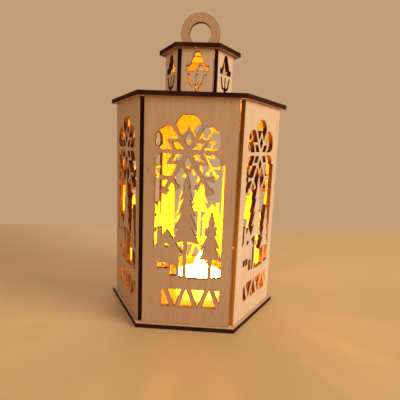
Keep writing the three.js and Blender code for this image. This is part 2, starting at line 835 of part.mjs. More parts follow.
const group = new THREE.Group();
group.add(flat("base_plate", basePlate(), 0));
group.add(wallRing("wall_", wallSolid(), innerApothem, sheet));
group.add(flat("roof_plate", roofPlate(), roofZ));
group.add(wallRing("cupola_", cupolaWallSolid(), cupolaApothem, cupolaZ));
group.add(flat("cupola_cap", capPlate(), capZ));
const ring = upright(piece("carrying_ring", ringSolid(), plywood), -sheet / 2, capTopZ);
group.add(ring);
group.add(teaLight());

export default group;
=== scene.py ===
"""Dresses a laser-cut plywood Christmas lantern with a battery tea light glowing inside."""

import logging
import math
import random
from dataclasses import dataclass, field
from enum import Enum
from typing import NamedTuple

import bmesh
import bpy
from mathutils import Matrix, Vector

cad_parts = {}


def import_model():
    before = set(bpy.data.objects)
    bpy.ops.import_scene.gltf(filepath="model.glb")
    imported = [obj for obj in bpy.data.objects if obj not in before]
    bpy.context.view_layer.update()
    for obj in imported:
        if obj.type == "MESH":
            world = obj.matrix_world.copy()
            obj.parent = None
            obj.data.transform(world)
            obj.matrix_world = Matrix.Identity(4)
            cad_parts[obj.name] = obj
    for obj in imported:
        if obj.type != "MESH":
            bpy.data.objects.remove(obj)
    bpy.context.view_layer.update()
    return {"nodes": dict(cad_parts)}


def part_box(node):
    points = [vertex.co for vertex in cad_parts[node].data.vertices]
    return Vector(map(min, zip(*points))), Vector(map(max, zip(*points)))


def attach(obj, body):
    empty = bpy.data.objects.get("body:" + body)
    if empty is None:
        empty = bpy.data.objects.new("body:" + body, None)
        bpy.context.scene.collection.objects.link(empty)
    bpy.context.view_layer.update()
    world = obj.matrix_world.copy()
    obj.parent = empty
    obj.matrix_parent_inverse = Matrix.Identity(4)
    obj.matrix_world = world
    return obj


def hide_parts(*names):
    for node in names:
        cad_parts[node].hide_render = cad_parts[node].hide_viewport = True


LOG = logging.getLogger("lantern")
MM = 0.001
SIDES = ("front", "front_right", "back_right", "back", "back_left", "front_left")
SHEET = 3 * MM

NodeSocket = bpy.types.NodeSocket
Feed = NodeSocket | float | tuple[float, ...]
Triple = tuple[float, float, float]
Tone = tuple[float, float, float, float]
Profile = list[tuple[float, float]]

# The screen's curve: a straight foot, then a power.
FOOT_END = 0.04045
FOOT_SLOPE = 12.92
CURVE_OFFSET = 0.055
CURVE_POWER = 2.4


def tone(red: int, green: int, blue: int) -> Tone:
    """Turns a screen colour into the linear one that a shader takes.

    Args:
        red: Red from 0 to 255, as seen on a screen.
        green: Green from 0 to 255.
        blue: Blue from 0 to 255.

    Returns:
        The linear colour with full alpha.
    """
    linear = []
    for value in (red / 255, green / 255, blue / 255):
        foot = value / FOOT_SLOPE
        curve = ((value + CURVE_OFFSET) / (1 + CURVE_OFFSET)) ** CURVE_POWER
        linear.append(foot if value <= FOOT_END else curve)
    return (linear[0], linear[1], linear[2], 1.0)


def side_turn(place: int) -> float:
    """Gives the turn, in radians, of the side that is so many places round from the front."""
    return math.radians(360 / len(SIDES) * place)


# The next two tones: a yellowed tint, also used as painted shade on the front walls, and a pale
# tone that is painted light on the front-right wall.
YELLOWED_AND_PAINTED_SHADE = tone(158, 100, 44)
PAINTED_LIGHT_PALE = tone(236, 206, 158)
# Inner faces' tone: laser smoke on the walls, with painted shade on the walls and on the cap's
# underside.
SOOT_AND_PAINTED_SHADE = tone(124, 72, 30)
SMOKED = tone(146, 94, 52)
CHARRED = tone(52, 25, 12)
BURNT = tone(19, 8, 4)
WHITE_PLASTIC = tone(240, 236, 228)
WHITE_DIRT = tone(205, 190, 165)


class Socket(Enum):
    """Kinds of socket that an effect group can have."""

    NUMBER = "NodeSocketFloat"
    COLOUR = "NodeSocketColor"
    VECTOR = "NodeSocketVector"


class Mixed(Enum):
    """Kinds of value that a mix node works on, with the places of its values and its result."""

    NUMBER = ("FLOAT", 2, 3, 0)
    COLOUR = ("RGBA", 6, 7, 2)


class Span(NamedTuple):
    """A stretch of numbers and the stretch that it becomes, clamped outside it.

    Attributes:
        low: Value that becomes to_low.
        high: Value that becomes to_high.
        to_low: Result at low.
        to_high: Result at high.
    """

    low: float
    high: float
    to_low: float = 0.0
    to_high: float = 1.0


class Grain(NamedTuple):
    """A noise's size and fineness.

    Attributes:
        stretch: Grains a metre along each axis.
        detail: Octaves of finer noise.
        distortion: How much the noise is warped by itself.
    """

    stretch: Triple
    detail: float = 2.0
    distortion: float = 0.0


class Graph:
    """Adds nodes to one node tree and links them."""

    def __init__(self, tree: bpy.types.NodeTree) -> None:
        """Takes the tree that the nodes go into."""
        self.tree = tree

    def node(self, kind: str, **settings: object) -> bpy.types.Node:
        """Adds a node.

        Args:
            kind: Blender's name of the node type.
            **settings: Attributes to set on the node.

        Returns:
            The new node.
        """
        made = self.tree.nodes.new(kind)
        for name, value in settings.items():
            setattr(made, name, value)
        return made

    def feed(self, socket: NodeSocket, value: Feed) -> None:
        """Links a socket to another one, or sets its constant.

        Args:
            socket: The input.
            value: An output socket to link, or a plain value.
        """
        if isinstance(value, NodeSocket):
            self.tree.links.new(value, socket)
        else:
            socket.default_value = value

    def math(self, operation: str, *values: Feed, clamp: bool = False) -> NodeSocket:
        """Works on one, two or three numbers.

        Args:
            operation: Blender's name of the operation.
            *values: The numbers or sockets, in the node's order.
            clamp: Whether the result stays between 0 and 1.

        Returns:
            The result's socket.
        """
        made = self.node("ShaderNodeMath", operation=operation, use_clamp=clamp)
        for socket, value in zip(made.inputs, values):
            self.feed(socket, value)
        return made.outputs[0]

    def times(self, first: Feed, second: Feed) -> NodeSocket:
        """Multiplies two numbers."""
        return self.math("MULTIPLY", first, second)

    def remap(self, value: Feed, span: Span) -> NodeSocket:
        """Maps a stretch of numbers onto another, clamped.

        Args:
            value: The number or socket.
            span: Both stretches.

        Returns:
            The result's socket.
        """
        made = self.node("ShaderNodeMapRange", clamp=True)
        for socket, number in zip(made.inputs, (value, *span)):
            self.feed(socket, number)
        return made.outputs[0]

    def mix(
        self, share: Feed, first: Feed, second: Feed, kind: Mixed = Mixed.COLOUR
    ) -> NodeSocket:
        """Mixes two colours or two numbers.

        Args:
            share: Share of the second one.
            first: Value at share 0.
            second: Value at share 1.
            kind: Whether they are colours or numbers.

        Returns:
            The mixed value's socket.
        """
        data_type, first_place, second_place, result = kind.value
        made = self.node("ShaderNodeMix", data_type=data_type)
        self.feed(made.inputs[0], share)
        self.feed(made.inputs[first_place], first)
        self.feed(made.inputs[second_place], second)
        return made.outputs[result]

    def noise(self, vector: NodeSocket, grain: Grain) -> NodeSocket:
        """Noise with its own size along each axis.

        Args:
            vector: Place on the surface, in metres.
            grain: The noise's size and fineness.

        Returns:
            A number from 0 to 1.
        """
        place = self.node("ShaderNodeMapping")
        self.feed(place.inputs["Vector"], vector)
        place.inputs["Scale"].default_value = grain.stretch
        made = self.node("ShaderNodeTexNoise")
        self.feed(made.inputs["Vector"], place.outputs[0])
        made.inputs["Scale"].default_value = 1.0
        made.inputs["Detail"].default_value = grain.detail
        made.inputs["Distortion"].default_value = grain.distortion
        return made.outputs[0]

    def vector(self, operation: str, first: Feed, second: Feed) -> bpy.types.Node:
        """Adds a vector maths node.

        Args:
            operation: Blender's name of the operation.
            first: The first vector or socket.
            second: The second vector or socket.

        Returns:
            The node, whose outputs are Vector and Value.
        """
        made = self.node("ShaderNodeVectorMath", operation=operation)
        self.feed(made.inputs[0], first)
        self.feed(made.inputs[1], second)
        return made

    def split(self, vector: NodeSocket) -> tuple[NodeSocket, ...]:
        """Splits a vector into its three numbers.

        Args:
            vector: The vector's socket.

        Returns:
            The sockets of X, Y and Z.
        """
        made = self.node("ShaderNodeSeparateXYZ")
        self.feed(made.inputs[0], vector)
        return tuple(made.outputs)

    def join(self, *numbers: Feed) -> NodeSocket:
        """Joins three numbers into a vector.

        Args:
            *numbers: X, Y and Z, as numbers or sockets.

        Returns:
            The vector's socket.
        """
        made = self.node("ShaderNodeCombineXYZ")
        for socket, number in zip(made.inputs, numbers):
            self.feed(socket, number)
        return made.outputs[0]

    def turn(self, vector: NodeSocket, angle: Feed) -> NodeSocket:
        """Turns a vector round the upright axis.

        Args:
            vector: The vector.
            angle: The turn in radians.

        Returns:
            The turned vector's socket.
        """
        made = self.node("ShaderNodeVectorRotate", rotation_type="Z_AXIS")
        self.feed(made.inputs["Vector"], vector)
        self.feed(made.inputs["Angle"], angle)
        return made.outputs[0]

    def place(self) -> NodeSocket:
        """Gives the place on the object, in metres."""
        return self.node("ShaderNodeTexCoord").outputs["Object"]


@dataclass(frozen=True)
class Layer:
    """A mark laid over a colour.

    Attributes:
        colour: The mark's tone.
        span: Where in its mask the mark starts and is full, and its share there.
    """

    colour: Tone
    span: Span = Span(0.0, 1.0)

    def over(self, graph: Graph, mask: NodeSocket, below: Feed) -> NodeSocket:
        """Lays the mark over the colour below it, by its mask, and gives the new colour."""
        return graph.mix(graph.remap(mask, self.span), below, self.colour)


class Effect:
    """A shader node group with named inputs and outputs, built once and used in many materials.

    Attributes:
        name: The group's name.
        takes: Kind and first value of each input.
        gives: Kind of each output.
        tree: The group's node tree.
    """

    name = "effect"
    takes: dict[str, tuple[Socket, Feed]] = {}
    gives: dict[str, Socket] = {}

    def __init__(self) -> None:
        """Makes the group's tree with its sockets, then its nodes."""
        self.tree = bpy.data.node_groups.new(self.name, "ShaderNodeTree")
        sockets = self.tree.interface
        for label, (kind, value) in self.takes.items():
            made = sockets.new_socket(name=label, in_out="INPUT", socket_type=kind.value)
            made.default_value = value
        for label, kind in self.gives.items():
            sockets.new_socket(name=label, in_out="OUTPUT", socket_type=kind.value)
        graph = Graph(self.tree)
        entry = graph.node("NodeGroupInput")
        leave = graph.node("NodeGroupOutput")
        for label, socket in self.build(graph, entry.outputs).items():
            graph.feed(leave.inputs[label], socket)

    def build(self, graph: Graph, given: bpy.types.bpy_prop_collection) -> dict[str, NodeSocket]:
        """Adds the group's nodes and gives the socket that feeds each output."""
        raise NotImplementedError

    def place(self, graph: Graph, **values: Feed) -> dict[str, NodeSocket]:
        """Places the group in a material.

        Args:
            graph: Where it goes.
            **values: Constants or sockets for its inputs.

        Returns:
            Its outputs by name.
        """
        made = graph.node("ShaderNodeGroup")
        made.node_tree = self.tree
        for label, value in values.items():
            graph.feed(made.inputs[label], value)
        return {socket.name: socket for socket in made.outputs}


class SheetAxes(Effect):
    """Place and facing of a point in its own plywood sheet: across, through and along the grain."""

    name = "Sheet axes"
    takes = {
        "Turn": (Socket.NUMBER, 0.0),
        "Lying": (Socket.NUMBER, 0.0),
        "Inner": (Socket.NUMBER, 0.0),
        "Seed": (Socket.NUMBER, 0.0),
    }
    gives = {"Place": Socket.VECTOR, "Face": Socket.NUMBER, "Depth": Socket.NUMBER}

    seed_rise = 1.7  # how far the seed moves the veneer along the grain, for 1 across it
    face_from = 0.7  # a surface that faces further through the sheet than this is a face

    def build(self, graph: Graph, given: bpy.types.bpy_prop_collection) -> dict[str, NodeSocket]:
        """Turns place and normal into the sheet's own frame; a lying sheet's depth runs upwards.

        Args:
            graph: The group's own graph.
            given: The group's inputs, by name.

        Returns:
            The socket that feeds each output.
        """
        back = graph.times(given["Turn"], -1.0)
        normal = graph.node("ShaderNodeNewGeometry").outputs["True Normal"]
        own = []
        for source in (graph.place(), normal):
            x, y, z = graph.split(graph.turn(source, back))
            through = graph.mix(given["Lying"], graph.times(y, -1.0), z, Mixed.NUMBER)
            along = graph.mix(given["Lying"], z, y, Mixed.NUMBER)
            own.append((x, through, along))
        (across, through, along), (_, facing, _) = own
        shift = graph.join(given["Seed"], 0.0, graph.times(given["Seed"], self.seed_rise))
        moved = graph.vector("ADD", graph.join(across, through, along), shift)
        deep = graph.math("SUBTRACT", through, given["Inner"])
        return {
            "Place": moved.outputs["Vector"],
            "Face": graph.math("GREATER_THAN", graph.math("ABSOLUTE", facing), self.face_from),
            "Depth": graph.math("DIVIDE", deep, SHEET, clamp=True),
        }


class EdgeMask(Effect):
    """Nearness to a sharp edge, from 0 on open faces to 1 at the edge."""

    name = "Edge mask"
    takes = {"Reach": (Socket.NUMBER, 0.5 * MM)}
    gives = {"Mask": Socket.NUMBER}

    samples = 6
    match = Span(0.995, 0.78)  # agreement of the two normals on a face, and at an edge

    def build(self, graph: Graph, given: bpy.types.bpy_prop_collection) -> dict[str, NodeSocket]:
        """Compares a rounded normal with the true one.

        Args:
            graph: The group's own graph.
            given: The group's inputs, by name.

        Returns:
            The socket that feeds each output.
        """
        rounded = graph.node("ShaderNodeBevel", samples=self.samples)
        graph.feed(rounded.inputs["Radius"], given["Reach"])
        true = graph.node("ShaderNodeNewGeometry").outputs["True Normal"]
        match = graph.vector("DOT_PRODUCT", rounded.outputs[0], true).outputs["Value"]
        return {"Mask": graph.remap(match, self.match)}


class BirchVeneer(Effect):
    """Pale rotary-cut birch: soft figure, fine fibres, short pores and a drift of tone."""

    name = "Birch veneer"
    takes = {"Place": (Socket.VECTOR, (0.0, 0.0, 0.0))}
    gives = {"Colour": Socket.COLOUR, "Roughness": Socket.NUMBER, "Height": Socket.NUMBER}

    grains = {
        "drift": Grain((22.0, 22.0, 9.0), detail=1.0),
        "streak": Grain((420.0, 420.0, 10.0), detail=3.0),
        "fibre": Grain((2600.0, 2600.0, 70.0)),
        "pore": Grain((1700.0, 1700.0, 150.0), detail=1.0),
        "fleck": Grain((240.0, 240.0, 60.0), detail=0.0),
    }
    warp = Grain((38.0, 38.0, 7.0), distortion=0.6)
    figure_pitch = 90.0  # radians of the figure's wave to a metre across the sheet
    figure_warp = 26.0  # radians that the warp can shift it by
    ground = tone(203, 159, 114)
    layers = {
        "drift": Layer(tone(215, 174, 130), Span(0.3, 0.7)),
        "figure": Layer(tone(190, 142, 96), Span(0.0, 1.0, 0.0, 0.28)),
        "streak": Layer(tone(182, 133, 88), Span(0.45, 0.8, 0.0, 0.5)),
        "fibre": Layer(tone(230, 194, 152), Span(0.35, 0.75, 0.0, 0.32)),
        "pore": Layer(tone(152, 106, 68), Span(0.66, 0.74, 0.0, 0.3)),
        "fleck": Layer(tone(139, 92, 57), Span(0.76, 0.82, 0.0, 0.28)),
    }
    roughness = Span(0.2, 0.8, 0.56, 0.7)
    fibre_rise = 0.6
    pore_depth = Span(0.66, 0.74, 0.0, 0.5)

    def build(self, graph: Graph, given: bpy.types.bpy_prop_collection) -> dict[str, NodeSocket]:
        """Layers the noises from the broadest to the finest.

        Args:
            graph: The group's own graph.
            given: The group's inputs, by name.

        Returns:
            The socket that feeds each output.
        """
        place = given["Place"]
        masks = {label: graph.noise(place, grain) for label, grain in self.grains.items()}
        bent = graph.times(graph.noise(place, self.warp), self.figure_warp)
        wave = graph.math("MULTIPLY_ADD", graph.split(place)[0], self.figure_pitch, bent)
        # The sine runs from -1 to 1 and the mask from 0 to 1.
        masks["figure"] = graph.math("MULTIPLY_ADD", graph.math("SINE", wave), 0.5, 0.5)
        colour: Feed = self.ground
        for label, layer in self.layers.items():
            colour = layer.over(graph, masks[label], colour)
        raised = graph.times(masks["fibre"], self.fibre_rise)
        sunk = graph.remap(masks["pore"], self.pore_depth)
        return {
            "Colour": colour,
            "Roughness": graph.remap(masks["fibre"], self.roughness),
            "Height": graph.math("SUBTRACT", raised, sunk),
        }


class CutEdge(Effect):
    """A laser-cut edge: charred plies with fine burn lines straight through the sheet, under an
    amber painted glow where one is fed in.
    """

    name = "Cut edge"
    takes = {
        "Place": (Socket.VECTOR, (0.0, 0.0, 0.0)),
        "Depth": (Socket.NUMBER, 0.5),
        "Amber": (Socket.NUMBER, 0.0),
    }
    gives = {"Colour": Socket.COLOUR, "Roughness": Socket.NUMBER, "Height": Socket.NUMBER}

    lines = Grain((2400.0, 0.0, 2400.0))
    blotch = Grain((120.0, 120.0, 120.0))
    speck = Grain((1900.0, 1900.0, 1900.0), detail=1.0)
    line_mask = Span(0.4, 0.72)
    # Distances from the sheet's middle, as shares of its thickness.
    core = Span(0.24, 0.2)
    glue_start = Span(0.19, 0.22)
    glue_end = Span(0.27, 0.24)
    ground = tone(50, 17, 5)
    # The amber tone is painted glow: it stands in for interior light falling on the edge.
    painted_glow_tone = tone(255, 160, 46)
    char_left = Span(0.0, 1.0, 1.0, 0.3)  # how much of the marks is left as the edge turns amber
    layers = {
        "blotch": Layer(tone(78, 32, 10), Span(0.35, 0.7)),
        "amber": Layer(painted_glow_tone),
        "core": Layer(tone(33, 14, 7), Span(0.0, 1.0, 0.0, 0.4)),
        "lines": Layer(BURNT, Span(0.0, 1.0, 0.0, 0.5)),
        "speck": Layer(tone(100, 58, 30), Span(0.6, 0.75, 0.0, 0.3)),
        "glue": Layer(tone(18, 8, 4), Span(0.0, 1.0, 0.0, 0.6)),
        "rim": Layer(tone(20, 9, 5), Span(0.4, 0.5, 0.0, 0.5)),
    }
    roughness = Span(0.3, 0.7, 0.84, 0.97)
    line_rise = 0.8
    glue_rise = -0.4

    def build(self, graph: Graph, given: bpy.types.bpy_prop_collection) -> dict[str, NodeSocket]:
        """Lays the marks over one another; burn lines keep their place through the depth.

        Args:
            graph: The group's own graph.
            given: The group's inputs, by name.

        Returns:
            The socket that feeds each output.
        """
        place = given["Place"]
        lines = graph.noise(place, self.lines)
        speck = graph.noise(place, self.speck)
        middle = graph.math("ABSOLUTE", graph.math("SUBTRACT", given["Depth"], 0.5))
        glue = graph.times(
            graph.remap(middle, self.glue_start), graph.remap(middle, self.glue_end)
        )
        left = graph.remap(given["Amber"], self.char_left)
        masks = {
            "blotch": graph.noise(place, self.blotch),
            "amber": given["Amber"],
            "core": graph.times(graph.remap(middle, self.core), left),
            "lines": graph.times(graph.remap(lines, self.line_mask), left),
            "speck": speck,
            "glue": graph.times(glue, left),
            "rim": middle,
        }
        colour: Feed = self.ground
        for label, layer in self.layers.items():
            colour = layer.over(graph, masks[label], colour)
        raised = graph.times(lines, self.line_rise)
        return {
            "Colour": colour,
            "Roughness": graph.remap(speck, self.roughness),
            "Height": graph.math("ADD", raised, graph.times(glue, self.glue_rise)),
        }


class MouldedPlastic(Effect):
    """Fine spark texture, faint flow marks and a little handling dirt on a moulding."""

    name = "Moulded plastic"
    takes = {
        "Base": (Socket.COLOUR, (0.8, 0.8, 0.8, 1.0)),
        "Dirt": (Socket.COLOUR, (0.5, 0.4, 0.3, 1.0)),
    }
    gives = {"Colour": Socket.COLOUR, "Roughness": Socket.NUMBER, "Height": Socket.NUMBER}

    spark = Grain((3800.0, 3800.0, 3800.0), detail=1.0)
    flow = Grain((160.0, 160.0, 60.0), detail=3.0, distortion=0.8)
    marks = Span(0.55, 0.85, 0.0, 0.14)
    roughness = Span(0.3, 0.8, 0.36, 0.52)

    def build(self, graph: Graph, given: bpy.types.bpy_prop_collection) -> dict[str, NodeSocket]:
        """Mixes a spark texture with broad marks.

        Args:
            graph: The group's own graph.
            given: The group's inputs, by name.

        Returns:
            The socket that feeds each output.
        """
        place = graph.place()
        flow = graph.noise(place, self.flow)
        return {
            "Colour": graph.mix(graph.remap(flow, self.marks), given["Base"], given["Dirt"]),
            "Roughness": graph.remap(flow, self.roughness),
            "Height": graph.noise(place, self.spark),
        }


class StampedSteel(Effect):
    """Plated steel with rolling lines and dull patches."""

    name = "Stamped steel"
    takes = {"Base": (Socket.COLOUR, (0.6, 0.6, 0.6, 1.0))}
    gives = {"Colour": Socket.COLOUR, "Roughness": Socket.NUMBER, "Height": Socket.NUMBER}

    lines = Grain((5200.0, 90.0, 600.0))
    dull = Grain((420.0, 420.0, 420.0), detail=3.0)
    patches = Layer(tone(120, 116, 108), Span(0.4, 0.8, 0.0, 0.4))
    roughness = Span(0.3, 0.7, 0.24, 0.42)

    def build(self, graph: Graph, given: bpy.types.bpy_prop_collection) -> dict[str, NodeSocket]:
        """Stretches noise into rolling lines.

        Args:
            graph: The group's own graph.
            given: The group's inputs, by name.

        Returns:
            The socket that feeds each output.
        """
        place = graph.place()
        lines = graph.noise(place, self.lines)
        return {
            "Colour": self.patches.over(graph, graph.noise(place, self.dull), given["Base"]),
            "Roughness": graph.remap(lines, self.roughness),
            "Height": lines,
        }


@dataclass
class Effects:
    """The effect groups, each built once.

    Attributes:
        axes: The sheet's own axes.
        edge: Nearness to a sharp edge.
        veneer: The veneer's figure.
        cut: The laser-cut edge.
        plastic: The moulding's texture.
        steel: The plated steel's texture.
    """

    axes: SheetAxes = field(default_factory=SheetAxes)
    edge: EdgeMask = field(default_factory=EdgeMask)
    veneer: BirchVeneer = field(default_factory=BirchVeneer)
    cut: CutEdge = field(default_factory=CutEdge)
    plastic: MouldedPlastic = field(default_factory=MouldedPlastic)
    steel: StampedSteel = field(default_factory=StampedSteel)


def new_material(name: str) -> tuple[bpy.types.Material, Graph, bpy.types.Node]:
    """Makes a material with a Principled shader.

    Args:
        name: The material's name.

    Returns:
        The material, its graph and its shader.
    """
    made = bpy.data.materials.new(name)
    made.use_nodes = True
    shader = next(n for n in made.node_tree.nodes if n.type == "BSDF_PRINCIPLED")
    return made, Graph(made.node_tree), shader


def surface(
    graph: Graph, shader: bpy.types.Node, parts: dict[str, Feed], relief: float, strength: float
) -> None:
    """Feeds colour, roughness and bump into the shader.

    Args:
        graph: The material's graph.
        shader: The Principled shader.
        parts: Sockets named Colour, Roughness and Height.
        relief: Depth of the bump in metres.
        strength: How strongly the bump shows.
    """
    graph.feed(shader.inputs["Base Color"], parts["Colour"])
    graph.feed(shader.inputs["Roughness"], parts["Roughness"])
    bump = graph.node("ShaderNodeBump")
    bump.inputs["Strength"].default_value = strength
    bump.inputs["Distance"].default_value = relief
    graph.feed(bump.inputs["Height"], parts["Height"])
    graph.feed(shader.inputs["Normal"], bump.outputs[0])


@dataclass(frozen=True)
class PlyFinish:
    """Birch plywood cut by a laser: veneer on the faces, char on the cut edges.

    Attributes:
        name: Material name.
        turn: Turn of the sheet round the upright axis, in radians.
        inner: Where the sheet's inner or lower face is, in metres from the axis or the floor.
        seed: Which stretch of veneer the piece was cut from.
        lying: Whether the sheet lies flat.
        amber: How much painted glow its left end gets in place of char, standing in for interior
            light through its corner gap.
        opening_painted_glow: How much painted glow the edges of its openings get in place of char,
            standing in for the flame's light on them.
        shade: How far the veneer's tone goes towards the tone given next.
        tint_and_painted_light: A yellowed tint on the plates, painted shade on darker walls, and a
            pale tone that is painted light.
        soot_and_painted_light: How far the sheet's inner face goes from the veneer's tone to its
            own.
        inside: The inner face's own tone: laser smoke with painted shade on the walls, painted
            shade on the cap, painted glow on the cupola's walls.
        char_reach: How far from a cut the face is charred.
        smoke_reach: How far from a cut it is browned by smoke.
        cloud: The noise that breaks up char, smoke and the inner face's tone.
        haze_share: Share of the smoke's tone near a cut, by the cloud.
        char_share: Share of the char's tone at a cut, by the cloud.
        inner_char: What is left of that char on the outer and on the inner face.
        inner_depth: Depth, as a share of the sheet's, up to which a face is the inner one.
        soot_and_painted_light_span: The cloud's stretch over which the inner face's tone grows.
        soot_and_painted_light_least: The inner face's tone at its least, as a share of its
            greatest.
        end: Distance from the sheet's middle at which its ends start.
        band_painted_glow: How much more painted glow the openings near the foot get.
        band_height: Heights at which that painted glow starts and is full.
        low_painted_glow: Painted glow by height, weaker at the top.
        relief: Depth of the bump.
        strength: How strongly the bump shows.
        sheen: Specular level of bare wood.
    """

    name: str
    turn: float
    inner: float
    seed: float
    lying: bool = False
    amber: float = 0.0
    opening_painted_glow: float = 0.0
    shade: float = 0.0
    tint_and_painted_light: Tone = YELLOWED_AND_PAINTED_SHADE
    soot_and_painted_light: float = 0.0
    inside: Tone = SOOT_AND_PAINTED_SHADE
    char_reach: float = 0.65 * MM
    smoke_reach: float = 2.0 * MM
    cloud: Grain = Grain((260.0, 260.0, 260.0), detail=3.0)
    haze_share: Span = Span(0.3, 0.75, 0.12, 0.62)
    char_share: Span = Span(0.25, 0.7, 0.7, 1.0)
    inner_char: Span = Span(0.0, 1.0, 1.0, 0.35)
    inner_depth: float = 0.1
    soot_and_painted_light_span: tuple[float, float] = (0.2, 0.8)
    soot_and_painted_light_least: float = 0.8
    end: float = 29 * MM
    band_painted_glow: float = 0.2
    band_height: tuple[float, float] = (45 * MM, 35 * MM)
    low_painted_glow: Span = Span(150 * MM, 60 * MM, 0.25, 1.0)
    relief: float = 0.06 * MM
    strength: float = 0.5
    sheen: float = 0.12

    def material(self, effects: Effects) -> bpy.types.Material:
        """Builds the material.

        Args:
            effects: The shared effect groups.

        Returns:
            The finished material.
        """
        made, graph, shader = new_material(self.name)
        axes = effects.axes.place(
            graph, Turn=self.turn, Lying=float(self.lying), Inner=self.inner, Seed=self.seed
        )
        veneer = effects.veneer.place(graph, Place=axes["Place"])
        # The cut edge's amber share is painted glow.
        cut = effects.cut.place(
            graph, Place=axes["Place"], Depth=axes["Depth"], Amber=self.painted_edge_glow(graph)
        )
        face = self.face(graph, effects, axes, veneer["Colour"])
        parts = {"Colour": graph.mix(axes["Face"], cut["Colour"], face)}
        for label in ("Roughness", "Height"):
            parts[label] = graph.mix(axes["Face"], cut[label], veneer[label], Mixed.NUMBER)
        surface(graph, shader, parts, self.relief, self.strength)
        shader.inputs["Specular IOR Level"].default_value = self.sheen
        return made

    def face(
        self, graph: Graph, effects: Effects, axes: dict[str, NodeSocket], veneer: NodeSocket
    ) -> NodeSocket:
        """Lays the tint with painted shade and light, the inner face's laser smoke with painted
        shade and glow, smoke and char over the veneer.

        Args:
            graph: The material's graph.
            effects: The shared effect groups.
            axes: The sheet's own axes.
            veneer: The veneer's colour.

        Returns:
            The face's colour.
        """
        char = effects.edge.place(graph, Reach=self.char_reach)["Mask"]
        smoke = effects.edge.place(graph, Reach=self.smoke_reach)["Mask"]
        cloud = graph.noise(axes["Place"], self.cloud)
        haze = graph.times(smoke, graph.remap(cloud, self.haze_share))
        inner = graph.math("LESS_THAN", axes["Depth"], self.inner_depth)
        singe = graph.times(char, graph.remap(cloud, self.char_share))
        singe = graph.times(singe, graph.remap(inner, self.inner_char))
        # The inner face's own tone: laser smoke with painted shade on the walls, painted shade on
        # the cap's underside, painted glow in the cupola.
        inner_tone_span = Span(*self.soot_and_painted_light_span, self.soot_and_painted_light * self.soot_and_painted_light_least, self.soot_and_painted_light)
        inner_soot_and_painted_light = graph.times(inner, graph.remap(cloud, inner_tone_span))
        # Tint: painted shade on the darker walls, painted light on the paler one, a yellowed tint
        # on the plates.
        face = graph.mix(self.shade, veneer, self.tint_and_painted_light)
        face = graph.mix(inner_soot_and_painted_light, face, self.inside)
        face = graph.mix(haze, face, SMOKED)
        return graph.mix(singe, face, CHARRED)

    def painted_edge_glow(self, graph: Graph) -> Feed:
        """Finds how much painted glow a cut edge gets: the openings and the left end, most low
        down.

        Args:
            graph: The material's graph.

        Returns:
            A number or a socket from 0 to 1.
        """
        if not self.opening_painted_glow:
            return 0.0
        # This share is painted glow on the cut edges: one wall's left end and the openings,
        # strongest low down.
        across, _, height = graph.split(graph.turn(graph.place(), -self.turn))
        end = graph.math("LESS_THAN", across, -self.end)
        opening = graph.math("LESS_THAN", graph.math("ABSOLUTE", across), self.end)
        band = Span(*self.band_height, self.opening_painted_glow, self.opening_painted_glow + self.band_painted_glow)
        warm = graph.times(opening, graph.remap(height, band))
        share = graph.math("ADD", graph.times(end, self.amber), warm)
        return graph.times(share, graph.remap(height, self.low_painted_glow))


@dataclass(frozen=True)
class PlasticFinish:
    """Moulded plastic, plain or a little translucent.

    Attributes:
        name: Material name.
        base: The plastic's tone.
        dirt: The tone of its marks.
        subsurface: How much light goes into it.
        coat: How much clear gloss it has.
        radius: How far red, green and blue light go into it.
        relief: Depth of the bump.
        strength: How strongly the bump shows.
    """

    name: str
    base: Tone
    dirt: Tone
    subsurface: float = 0.0
    coat: float = 0.0
    radius: Triple = (1.0 * MM, 0.7 * MM, 0.4 * MM)
    relief: float = 0.03 * MM
    strength: float = 0.35

    def material(self, effects: Effects) -> bpy.types.Material:
        """Builds the material from the shared moulding texture.

        Args:
            effects: The shared effect groups.

        Returns:
            The finished material.
        """
        made, graph, shader = new_material(self.name)
        parts = effects.plastic.place(graph, Base=self.base, Dirt=self.dirt)
        surface(graph, shader, parts, self.relief, self.strength)
        shader.inputs["Subsurface Weight"].default_value = self.subsurface
        shader.inputs["Subsurface Radius"].default_value = self.radius
        shader.inputs["Subsurface Scale"].default_value = 1.0
        shader.inputs["Coat Weight"].default_value = self.coat
        return made


